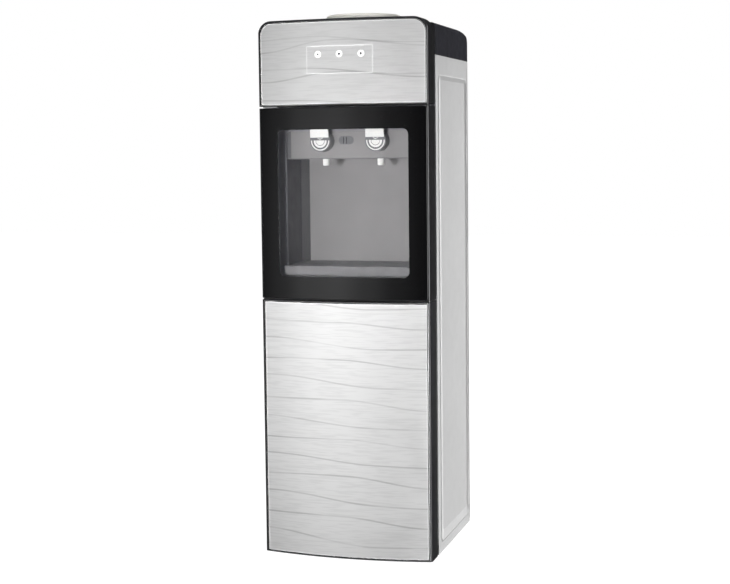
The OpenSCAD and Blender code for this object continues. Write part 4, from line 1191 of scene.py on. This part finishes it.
@dataclass
class Tap:
    """One push tap: lever, spout, spring and the marks on its drum.

    Attributes:
        side: left or right.
        x: middle of the tap.
        body: body of its lever.
        lever_half: half width of the lever.
        lever_y: front of the lever.
        lever_back: back of the lever's top.
        lever_z: lower and upper edge of the lever.
        wall: thickness of the lever.
        pivot: Y and Z of the pivot pin.
        pin: half length and radius of the pin.
        ear: inner and outer distance of an ear from the middle, and its half depth.
        drum: Y of the drum's face, height of its middle and its radius.
        half_rings: how far inside the drum's rim each half ring starts and ends.
        chevron: X and Z of one half of the chevron, from the drum's middle.
        relief: how far a mark stands out.
        spout_y: depth of the spout's middle.
        spout_z: height of the spout's mouth.
        nozzle: radius and height of the spout's outline.
        stem_y: depth of the stem's middle.
        spring: foot and top of the spring.
        spring_r: radius of the spring's winding and of its wire.
        turns: turns of the spring.
        travel: way of the stem; not used.
    """

    side: str
    x: float
    body: Body
    lever_half: float = 17.0
    lever_y: float = 22.0
    lever_back: float = 48.0
    lever_z: Span = (745.0, 763.5)
    wall: float = 3.0
    pivot: Span = (45.0, 756.0)
    pin: Span = (7.0, 1.5)
    ear: Point = (5.4, 9.0, 3.0)
    drum: Point = (28.0, 739.0, 19.0)
    half_rings: tuple[Span, ...] = ((2.0, 4.0), (7.0, 10.5), (11.5, 19.0))
    chevron: tuple[Span, ...] = ((0.0, 2.4), (4.6, 4.6), (4.6, 5.8), (0.0, 3.6))
    relief: float = 0.6
    spout_y: float = 61.3
    spout_z: float = 695.0
    nozzle: tuple[Span, ...] = ((3.5, 0.0), (4.6, -0.05), (5.6, 0.5), (6.0, 1.4), (6.0, 17.0), (3.5, 17.0))
    stem_y: float = 35.0
    spring: Span = (738.0, 757.2)
    spring_r: Span = (3.6, 0.45)
    turns: int = 7
    travel: float = 1.6

    def build(self, paints: Paintbox) -> None:
        """Makes the lever and the spring."""
        self.lever(paints)
        self.spring_wire(paints)

    def lever(self, paints: Paintbox) -> None:
        """Makes the lever: a rounded paddle, two ears and the pivot pin."""
        low, high = self.lever_z
        front, back, wall = self.lever_y, self.lever_back, self.wall
        side = [
            (front, low),
            (front + wall, low),
            (front + wall, high - wall),
            (back, high - wall),
            (back, high),
            (front, high),
        ]
        lever = Workpiece(f"lever_{self.side}_paddle")
        start = self.x - self.lever_half
        lever.prism([(start, y, z) for y, z in side], (2 * self.lever_half, 0.0, 0.0), 1.1)
        pivot_y, pivot_z = self.pivot
        inner, outer, depth = self.ear
        for sign in (-1, 1):
            near, far = sorted((self.x + sign * inner, self.x + sign * outer))
            lever.block((near, pivot_y - depth, pivot_z - 2.8), (far, pivot_y + depth, high - 1.0), 0.6, 2)
        reach, radius = self.pin
        lever.rod((self.x - reach, pivot_y, pivot_z), (self.x + reach, pivot_y, pivot_z), radius, 20)
        lever.place(self.body, Slot.WHITE_PLASTIC, paints, [f"lever_{self.side}"])

    def marks(self, marks: Workpiece) -> None:
        """Adds the marks on this tap's drum to a workpiece: two half rings, a half disc and a chevron."""
        front, middle, radius = self.drum
        near = front - self.relief
        for outer, inner in self.half_rings:
            disc = Workpiece("disc")
            disc.rod((self.x, near, middle), (self.x, front, middle), radius - outer, 64, 0.2)
            if inner < radius:
                bore = Workpiece("bore")
                bore.rod((self.x, front - 2.0, middle), (self.x, front + 2.0, middle), radius - inner, 64)
                disc.cut(bore)
            cut = bmesh.ops.bisect_plane(
                disc.bm,
                geom=[*disc.bm.verts, *disc.bm.edges, *disc.bm.faces],
                dist=1e-4,
                plane_co=(0.0, 0.0, middle + 1.0),
                plane_no=(0.0, 0.0, 1.0),
                clear_outer=True,
            )["geom_cut"]
            bmesh.ops.holes_fill(disc.bm, edges=[g for g in cut if isinstance(g, bmesh.types.BMEdge)])
            marks.merge(disc, Matrix.Identity(4))
            disc.bm.free()
        for sign in (-1, 1):
            points = [(self.x + sign * x, near, middle + z) for x, z in self.chevron]
            marks.prism(points, (0.0, self.relief, 0.0))

    def spout(self, spouts: Workpiece) -> None:
        """Adds this tap's spout to a workpiece: a nozzle whose mouth has a rounded rim."""
        spouts.lathe(self.nozzle, (self.x, self.spout_y, self.spout_z), 48)

    def spring_wire(self, paints: Paintbox) -> None:
        """Makes the return spring as a wound wire."""
        low, high = self.spring
        winding, wire = self.spring_r
        spring = Workpiece(f"spring_{self.side}_wire")
        spring.coil((self.x, self.stem_y, low + wire), winding, wire, high - low - 2 * wire, self.turns)
        node = f"spring_{self.side}"
        piece = spring.place(Body.CABINET, Slot.BRIGHT_STEEL, paints, [node], sharp=60.0)
        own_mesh(piece)


@dataclass
class Bay:
    """Taps, blank plate with dark slot strips, and a darker strip along the hood's lower edge in the
    dispensing bay; both kinds of strip are painted shade.

    Attributes:
        taps: both taps.
        badge: left, right, lower and upper edge of the blank plate.
        rib_x: left edges of the plate's two ribs.
        slot_shade_x: left edges of two dark strips beside the ribs, painted shade of slots in the plate.
        margin: distance of the ribs and slots from the plate's lower and upper edge.
        hood_y: Y of the hood's front.
        shade_strip: half width, lower and upper edge of the darker strip along the hood's lower edge, painted
            shade under the hood.
    """

    taps: tuple[Tap, ...] = field(
        default_factory=lambda: (Tap("left", -51.0, Body.LEVER_LEFT), Tap("right", 51.0, Body.LEVER_RIGHT))
    )
    badge: tuple[float, float, float, float] = (-24.0, 4.0, 732.5, 747.5)
    rib_x: Span = (-13.0, -8.0)
    slot_shade_x: Span = (-15.5, -9.9)
    margin: float = 1.5
    hood_y: float = 51.5
    shade_strip: Point = (121.0, 707.0, 708.5)

    def build(self, paints: Paintbox) -> None:
        """Makes the taps' pieces, the blank plate with dark slot strips that are painted shade, and the
        darker strip along the hood that is painted shade.
        """
        marks, spouts = Workpiece("tap_face_marks"), Workpiece("spout_nozzles")
        for tap in self.taps:
            tap.build(paints)
            tap.marks(marks)
            tap.spout(spouts)
        marks.place(Body.CABINET, Slot.WHITE_PLASTIC, paints, ["tap_marks"])
        spouts.place(Body.CABINET, Slot.WHITE_PLASTIC, paints, ["spouts"])
        left, right, low, high = self.badge
        low_in, high_in = low + self.margin, high - self.margin
        plate = Workpiece("hood_plate")
        corners = rectangle((right - left) / 2, low, high, 7.3, 7.3, (left + right) / 2)
        plate.plate(corners, self.hood_y - 0.8, self.hood_y, 0.4)
        for x in self.rib_x:
            plate.block((x, self.hood_y - 1.4, low_in), (x + 2.0, self.hood_y - 0.5, high_in), 0.3, 2)
        plate.place(Body.CABINET, Slot.TAP_GREY, paints, ["hood_badge"])
        # Darker strip along the hood's lower edge: painted shade where the hood meets the bay
        half, foot, top = self.shade_strip
        shade_strip = Workpiece("hood_edge_shade_strip")
        shade_strip.block((-half, self.hood_y - 0.5, foot), (half, self.hood_y + 0.5, top), 0.3, 2)
        shade_strip.place(Body.CABINET, Slot.TAP_GREY, paints)
        # Dark strips beside the ribs: painted shade of slots in the plate
        slots = Workpiece("hood_plate_slot_shades")
        for x in self.slot_shade_x:
            slots.block((x, self.hood_y - 0.95, low_in), (x + 1.6, self.hood_y - 0.7, high_in))
        slots.place(Body.CABINET, Slot.TAP_GREY, paints, finish=PRINT_DARK)


@dataclass
class RearFittings:
    """Screws that hold the rear panel.

    Attributes:
        x: distance of the screws from the middle.
        levels: heights of the screws.
        back: Y of the rear panel's outside.
        radius: radius of a head.
        height: height of a head.
        cross: half length and half width of a slot of the cross in a head.
    """

    x: float = 148.2
    levels: tuple[float, ...] = tuple(250.0 + k * 606.5 / 3 for k in range(4))
    back: float = 301.0
    radius: float = 3.5
    height: float = 2.2
    cross: Span = (1.9, 0.35)

    def build(self, paints: Paintbox) -> None:
        """Makes one screw and copies it to all places."""
        master = Workpiece("screw")
        r, h = self.radius, self.height
        shank = [(0.0, -3.0), (1.5, -3.0), (1.5, 0.0)]
        outline = [*shank, (r, 0.0), (r, 0.7), (r - 0.4, 1.4), (r - 1.2, 2.0), (0.0, h)]
        master.lathe(outline, (0.0, 0.0, 0.0), 32)
        for half_x, half_y in (self.cross, self.cross[::-1]):
            bar = Workpiece("cross")
            bar.block((-half_x, -half_y, h - 1.1), (half_x, half_y, h + 1.0))
            master.cut(bar)
        screws = Workpiece("rear_screws")
        for sign in (-1, 1):
            for k, level in enumerate(self.levels):
                turn = Matrix.Rotation(-math.pi / 2, 4, "X") @ Matrix.Rotation(0.5 * k + sign, 4, "Z")
                screws.merge(master, Matrix.Translation((sign * self.x, self.back, level)) @ turn)
        master.bm.free()
        screws.place(Body.CABINET, Slot.BRIGHT_STEEL, paints, ["panel_screws"])


@dataclass
class Undercarriage:
    """Rubber feet and the wound evaporator.

    Attributes:
        foot_x: distance of the feet from the middle.
        foot_y: depths of the feet.
        foot_r: radius of a foot.
        foot_h: height of a foot.
        coil_r: radius of the evaporator's winding.
        tube_r: radius of its tube.
        coil_z: lowest and highest middle of the tube.
        coil_y: depth of its axis.
        turns: number of turns.
    """

    foot_x: float = 125.0
    foot_y: Span = (74.5, 275.0)
    foot_r: float = 15.0
    foot_h: float = 8.0
    coil_r: float = 63.1
    tube_r: float = 2.7
    coil_z: Span = (785.0, 845.4)
    coil_y: float = 138.0
    turns: int = 11

    def build(self, paints: Paintbox) -> None:
        """Makes the feet and the winding."""
        feet = Workpiece("rubber_feet")
        r, h = self.foot_r, self.foot_h
        recess = [(0.0, -h + 1.5), (5.0, -h + 1.5), (6.0, -h)]
        outline = [*recess, (r - 2.2, -h), (r - 1.2, -h + 0.8), (r, -2.0), (r, 0.0), (0.0, 0.0)]
        for x in (-self.foot_x, self.foot_x):
            for y in self.foot_y:
                feet.lathe(outline, (x, y, 0.0), 48)
        feet.place(Body.CABINET, Slot.BLACK_RUBBER, paints, ["feet"])
        winding = Workpiece("evaporator_winding")
        low, high = self.coil_z
        winding.coil((0.0, self.coil_y, low), self.coil_r, self.tube_r, high - low, self.turns, 10)
        winding.place(Body.CABINET, Slot.COPPER, paints, ["evaporator_coil"], sharp=60.0)


@dataclass
class GapShadeStrips:
    """Black strips in the gap between the doors and in the gap under the head: painted shade that darkens the
    gaps.

    Attributes:
        strips: name, lowest corner and highest corner of each.
    """

    strips: tuple[tuple[str, Point, Point], ...] = (
        ("rail_gap_shade_strip", (-152.0, 2.1, 458.5), (152.0, 2.98, 460.5)),
        ("head_gap_shade_strip", (-122.0, 3.0, 798.6), (151.0, 4.2, 800.6)),
    )

    def build(self, paints: Paintbox) -> None:
        """Makes the strips."""
        for name, low, high in self.strips:
            strip = Workpiece(name)
            strip.block(low, high, 0.3)
            strip.place(Body.CABINET, Slot.BLACK_RUBBER, paints)


@dataclass
class SidePanels:
    """Side sheets with a pressed field inside a low ridge.

    Attributes:
        half: X of the outside.
        sheet: thickness of the sheet.
        front: Y of the front edge.
        back: Y of the back edge.
        high: height of the sheet.
        levels: outlines from the rim to the field, each with its distance from the front, lower, back and
            upper edge, the radius of its corners, and its depth at the front and at the back.
        steps: points of a rounded corner.
        flange: width and lower end of the flange that the rear panel is screwed to.
        crease: angle in degrees from which a bend of the sheet stays sharp.
    """

    half: float = 155.0
    sheet: float = 0.8
    front: float = 48.2
    back: float = 301.0
    high: float = 886.5
    levels: tuple[tuple[float, ...], ...] = (
        (0.0, 0.0, 0.0, 0.0, 0.4, 0.0, 0.0),
        (22.0, 16.0, 4.5, 33.0, 11.0, 0.7, 0.7),
        (24.0, 18.0, 12.0, 35.0, 12.0, 0.0, 0.0),
        (44.0, 34.0, 21.0, 42.0, 6.0, 2.4, 1.1),
    )
    steps: int = 8
    flange: Span = (12.0, 22.0)
    crease: float = 1.5

    def build(self, paints: Paintbox) -> None:
        """Makes both panels."""
        for sign, side in ((-1, "left"), (1, "right")):
            panel = Workpiece(f"side_panel_{side}_sheet")
            loops = [[panel.bm.verts.new(p) for p in self.outline(sign, level)] for level in self.levels]
            faces = [panel.bm.faces.new(loops[-1])]
            for outer, inner in zip(loops, loops[1:]):
                for k, vert in enumerate(outer):
                    faces.append(panel.bm.faces.new((outer[k - 1], vert, inner[k], inner[k - 1])))
            panel.thicken(faces, (-sign * self.sheet, 0.0, 0.0))
            width, low = self.flange
            inside = sign * (self.half - self.sheet)
            left, right = sorted((inside, inside - sign * width))
            near, far = self.back - 2 * self.sheet, self.back - self.sheet
            panel.block((left, near, low), (right, far, self.high))
            node = f"side_panel_{side}"
            panel.place(Body.CABINET, Slot.SIDE_PAINT, paints, [node], sharp=self.crease)

    def outline(self, sign: int, level: tuple[float, ...]) -> list[Point]:
        """Lists the points of one level of a panel.

        Args:
            sign: side of the panel.
            level: row of the levels.

        Returns:
            The points, once round.
        """
        front, low, back, top, radius, near, far = level
        box = (self.front + front, low, self.back - back, self.high - top)
        middles = (
            (box[0] + radius, box[1] + radius),
            (box[2] - radius, box[1] + radius),
            (box[2] - radius, box[3] - radius),
            (box[0] + radius, box[3] - radius),
        )
        points = []
        for k, (y, z) in enumerate(middles):
            for step in range(self.steps):
                turn = math.pi + (k + step / (self.steps - 1)) * math.pi / 2
                at_y, at_z = y + radius * math.cos(turn), z + radius * math.sin(turn)
                depth = near + (far - near) * (at_y - box[0]) / (box[2] - box[0])
                points.append((sign * (self.half - depth), at_y, at_z))
        return points


@dataclass
class Construction:
    """Materials and shading of the CAD nodes that stay in view.

    Attributes:
        turned: nodes whose curved faces are flat facets in the CAD.
        limit: angle in degrees from which an edge of these stays sharp.
    """

    turned: tuple[str, ...] = (
        "head_frame",
        "upper_door_frame",
        "lower_door_frame",
        "top_cover",
        "silicone_tubes",
        "drain_pipe",
        "refrigerant_pipes",
        "fascia",
        "bottle_seat",
        "water_guard",
        "compressor",
    )
    limit: float = 32.0

    def shading(self) -> bpy.types.NodeTree:
        """Makes a modifier's tree that joins the facets and keeps sharp the edges over the limit."""
        tree = bpy.data.node_groups.new("Shade by angle", "GeometryNodeTree")
        tree.interface.new_socket("Mesh", in_out="INPUT", socket_type="NodeSocketGeometry")
        tree.interface.new_socket("Mesh", in_out="OUTPUT", socket_type="NodeSocketGeometry")
        start = add_node(tree, "NodeGroupInput")
        joined = add_node(tree, "GeometryNodeMergeByDistance", {"Geometry": start, "Distance": 1e-6})
        plain = add_node(tree, "GeometryNodeRemoveAttribute", {0: joined, "Name": "custom_normal"})
        smooth = {0: plain, "Shade Smooth": True}
        rounded = add_node(tree, "GeometryNodeSetShadeSmooth", smooth, domain="FACE")
        angle = add_node(tree, "GeometryNodeInputMeshEdgeAngle").outputs["Unsigned Angle"]
        limit = math.radians(self.limit)
        blunt = add_node(tree, "FunctionNodeCompare", (angle, limit), operation="LESS_THAN")
        sharp = {0: rounded, "Shade Smooth": blunt}
        edges = add_node(tree, "GeometryNodeSetShadeSmooth", sharp, domain="EDGE")
        add_node(tree, "NodeGroupOutput", (edges,))
        return tree

    def dress(self, paints: Paintbox) -> None:
        """Gives each CAD node its material and smooth shading where it is curved."""
        tree = self.shading()
        slots = {row["node"]: Slot(row["material_slot"]) for row in frame["record"]["subparts"]}
        for name, obj in frame["nodes"].items():
            obj.data.materials.clear()
            obj.data.materials.append(paints.get(FINISHES[slots[name]]))
            if name in self.turned:
                obj.modifiers.new("Shade by angle", "NODES").node_group = tree
                obj.modifiers.new("Weighted normals", "WEIGHTED_NORMAL").keep_sharp = True
        LOG.info("%d CAD nodes dressed", len(slots))


@dataclass(frozen=True)
class Lamp:
    """A soft lamp.

    Attributes:
        name: what it lights.
        place: where it stands, in metres.
        aim: point that it looks at, in metres.
        size: width and height in metres.
        power: power in watts.
        spread: angle in degrees over which it shines.
    """

    name: str
    place: Point
    aim: Point
    size: Span
    power: float
    spread: float = 180.0

    def build(self) -> None:
        """Makes the lamp."""
        data = bpy.data.lights.new(self.name, "AREA")
        data.shape = "RECTANGLE"
        data.size, data.size_y = self.size
        data.energy = self.power
        data.spread = math.radians(self.spread)
        obj = bpy.data.objects.new(self.name, data)
        obj.location = self.place
        obj.rotation_euler = (Vector(self.aim) - Vector(self.place)).to_track_quat("-Z", "Y").to_euler()
        obj.visible_camera = False
        obj.visible_glossy = False
        bpy.context.scene.collection.objects.link(obj)


@dataclass
class Studio:
    """White sweep, soft lamps and the camera of the photograph.

    Attributes:
        eye: place of the camera in metres.
        yaw: turn of the camera about the upright axis in degrees.
        pitch: how far it looks up in degrees.
        roll: roll of the camera in degrees.
        lens: focal length in millimetres on a 36 mm sensor.
        shift: vertical shift as a share of the image's width.
        lamps: the lamps.
        skylight: strength of the surroundings on matt surfaces.
        floor_glow: share of light that the floor gives off to the camera, and its strength.
        highest: strength that a full white of the surroundings stands for.
        surroundings: brightness of the surroundings in glossy surfaces, by their bearing in degrees from
            the front, positive to the viewer's right.
        glow: elevation in degrees where they are brightest, how far the glow reaches up and down, and
            the share of brightness beyond it.
    """

    eye: Point = (0.7751, -2.6153, 0.7384)
    yaw: float = 16.671
    pitch: float = -4.5
    roll: float = -0.652
    lens: float = 72.745
    shift: float = -0.0418
    skylight: float = 0.34
    lamps: tuple[Lamp, ...] = (
        Lamp("frontal lamp", (0.05, -3.1, 0.62), (0.0, 0.0, 0.55), (0.35, 0.35), 5.8, 40.0),
        Lamp("near soft box", (-0.45, -1.05, 0.6), (0.0, -0.1, 0.5), (0.5, 0.6), 3.5),
        Lamp("grazing lamp", (0.66, 3.9, 1.6), (0.15, 0.1, 0.5), (0.2, 0.6), 50.0, 40.0),
        Lamp("side lamp", (2.6, -0.2, 1.3), (0.0, 0.0, 0.5), (1.4, 1.4), 3.0),
        Lamp("top lamp", (0.2, -0.3, 2.6), (0.0, 0.0, 0.9), (1.2, 1.2), 10.0),
        Lamp("rear lamp", (-1.2, 2.6, 1.6), (0.0, 0.0, 0.5), (1.4, 1.4), 13.0),
    )
    floor_glow: Span = (0.9, 1.2)
    highest: float = 12.0
    surroundings: tuple[Span, ...] = (
        (-180.0, 0.1),
        (-165.0, 0.3),
        (-150.0, 0.2),
        (-90.0, 0.2),
        (-60.0, 0.05),
        (-46.0, 0.14),
        (-38.0, 0.45),
        (-30.0, 1.0),
        (-19.0, 1.2),
        (-9.0, 0.68),
        (0.0, 0.24),
        (10.0, 0.03),
        (24.0, 0.05),
        (36.0, 12.0),
        (60.0, 12.0),
        (80.0, 0.3),
        (140.0, 0.02),
        (180.0, 0.1),
    )
    glow: Point = (-4.0, 14.0, 0.22)

    def build(self) -> None:
        """Makes the floor, the world, the lamps and the camera."""
        self.floor()
        self.world()
        for lamp in self.lamps:
            lamp.build()
        self.camera()
        bpy.context.scene.view_settings.view_transform = "Standard"

    def floor(self) -> None:
        """Makes the pale floor, which shows white but keeps the shadow."""
        bm = bmesh.new()
        bmesh.ops.create_grid(bm, x_segments=1, y_segments=1, size=9.0)
        mesh = bpy.data.meshes.new("floor")
        bm.to_mesh(mesh)
        bm.free()
        obj = bpy.data.objects.new("floor", mesh)
        bpy.context.scene.collection.objects.link(obj)
        material = bpy.data.materials.new("matt white floor")
        material.use_nodes = True
        tree = material.node_tree
        tree.nodes.clear()
        ray = add_node(tree, "ShaderNodeLightPath")
        straight = (ray.outputs["Is Camera Ray"], ray.outputs["Is Transmission Ray"])
        seen = add_node(tree, "ShaderNodeMath", straight, operation="MAXIMUM")
        share = add_node(tree, "ShaderNodeMath", (seen, self.floor_glow[0]), operation="MULTIPLY")
        matt = add_node(tree, "ShaderNodeBsdfDiffuse", (linear("#b4b4b4"),))
        glow = add_node(tree, "ShaderNodeEmission", (linear("#ffffff"), self.floor_glow[1]))
        clear = add_node(tree, "ShaderNodeBsdfTransparent")
        lit = add_node(tree, "ShaderNodeMixShader", (share, matt, glow))
        both = add_node(tree, "ShaderNodeMixShader", (ray.outputs["Is Glossy Ray"], lit, clear))
        add_node(tree, "ShaderNodeOutputMaterial", (both,))
        mesh.materials.append(material)

    def world(self) -> None:
        """Makes the surroundings: white to the camera, a studio with a soft bright front in gloss."""
        world = bpy.data.worlds.new("studio")
        bpy.context.scene.world = world
        world.use_nodes = True
        tree = world.node_tree
        tree.nodes.clear()
        ray = add_node(tree, "ShaderNodeLightPath")
        way = add_node(tree, "ShaderNodeTexCoord").outputs["Generated"]
        split = add_node(tree, "ShaderNodeSeparateXYZ", (way,))
        forward = add_node(tree, "ShaderNodeMath", (split.outputs[1], -1.0), operation="MULTIPLY")
        bearing = add_node(tree, "ShaderNodeMath", (split, forward), operation="ARCTAN2")
        share = add_node(tree, "ShaderNodeMath", (bearing, WHOLE_TURN), operation="DIVIDE")
        turn = add_node(tree, "ShaderNodeMath", (share, 0.5), operation="ADD")
        shades = add_node(tree, "ShaderNodeValToRGB", (turn,))
        stops = shades.color_ramp.elements
        shades.color_ramp.interpolation = "EASE"
        while len(stops) < len(self.surroundings):
            stops.new(0.5)
        for stop, (degrees, brightness) in zip(stops, self.surroundings):
            stop.position = degrees / 360 + 0.5
            stop.color = (*(brightness / self.highest,) * 3, 1.0)
        level, reach = (math.sin(math.radians(degrees)) for degrees in self.glow[:2])
        offset = add_node(tree, "ShaderNodeMath", (split.outputs[2], level), operation="SUBTRACT")
        above = add_node(tree, "ShaderNodeMath", (offset, 0.0), operation="ABSOLUTE")
        fall = (above, 0.0, reach, self.highest, self.highest * self.glow[2])
        strength = add_node(tree, "ShaderNodeMapRange", fall, **SMOOTH)
        plain = add_node(tree, "ShaderNodeBackground", (linear("#ffffff"), self.skylight))
        gloss = add_node(tree, "ShaderNodeBackground", (shades, strength))
        white = add_node(tree, "ShaderNodeBackground", (linear("#ffffff"), 1.0))
        straight = (ray.outputs["Is Camera Ray"], ray.outputs["Is Transmission Ray"])
        seen = add_node(tree, "ShaderNodeMath", straight, operation="MAXIMUM")
        lit = add_node(tree, "ShaderNodeMixShader", (ray.outputs["Is Glossy Ray"], plain, gloss))
        both = add_node(tree, "ShaderNodeMixShader", (seen, lit, white))
        add_node(tree, "ShaderNodeOutputWorld", (both,))

    def camera(self) -> None:
        """Sets the camera where the photograph was taken from."""
        yaw, pitch, roll = math.radians(self.yaw), math.radians(self.pitch), math.radians(self.roll)
        level = Vector((math.cos(yaw), math.sin(yaw), 0.0))
        ahead = Vector((-math.sin(yaw) * math.cos(pitch), math.cos(yaw) * math.cos(pitch), math.sin(pitch)))
        upright = level.cross(ahead)
        right = level * math.cos(roll) + upright * math.sin(roll)
        up = upright * math.cos(roll) - level * math.sin(roll)
        data = bpy.data.cameras.new("camera")
        data.lens = self.lens
        data.sensor_width = 36.0
        data.shift_y = self.shift
        obj = bpy.data.objects.new("camera", data)
        turned = Matrix((right, up, -ahead)).transposed().to_4x4()
        obj.matrix_world = Matrix.Translation(self.eye) @ turned
        bpy.context.scene.collection.objects.link(obj)
        bpy.context.scene.camera = obj


def corners(box: tuple[Vector, Vector]) -> list[list[float]]:
    """Lists the two corners of a box as plain numbers."""
    return [list(corner) for corner in box]


def main() -> None:
    """Builds the studio and the dispenser round its construction."""
    logging.basicConfig(level=logging.INFO, format="%(message)s")
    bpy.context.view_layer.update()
    paints = Paintbox()
    Studio().build()
    Construction().dress(paints)
    fronts = (HeadFront(), UpperDoor(), LowerDoor(), Bay())
    for part in (*fronts, GapShadeStrips(), SidePanels(), RearFittings(), Undercarriage()):
        part.build(paints)
    bpy.context.view_layer.update()


if __name__ == "__main__":
    main()
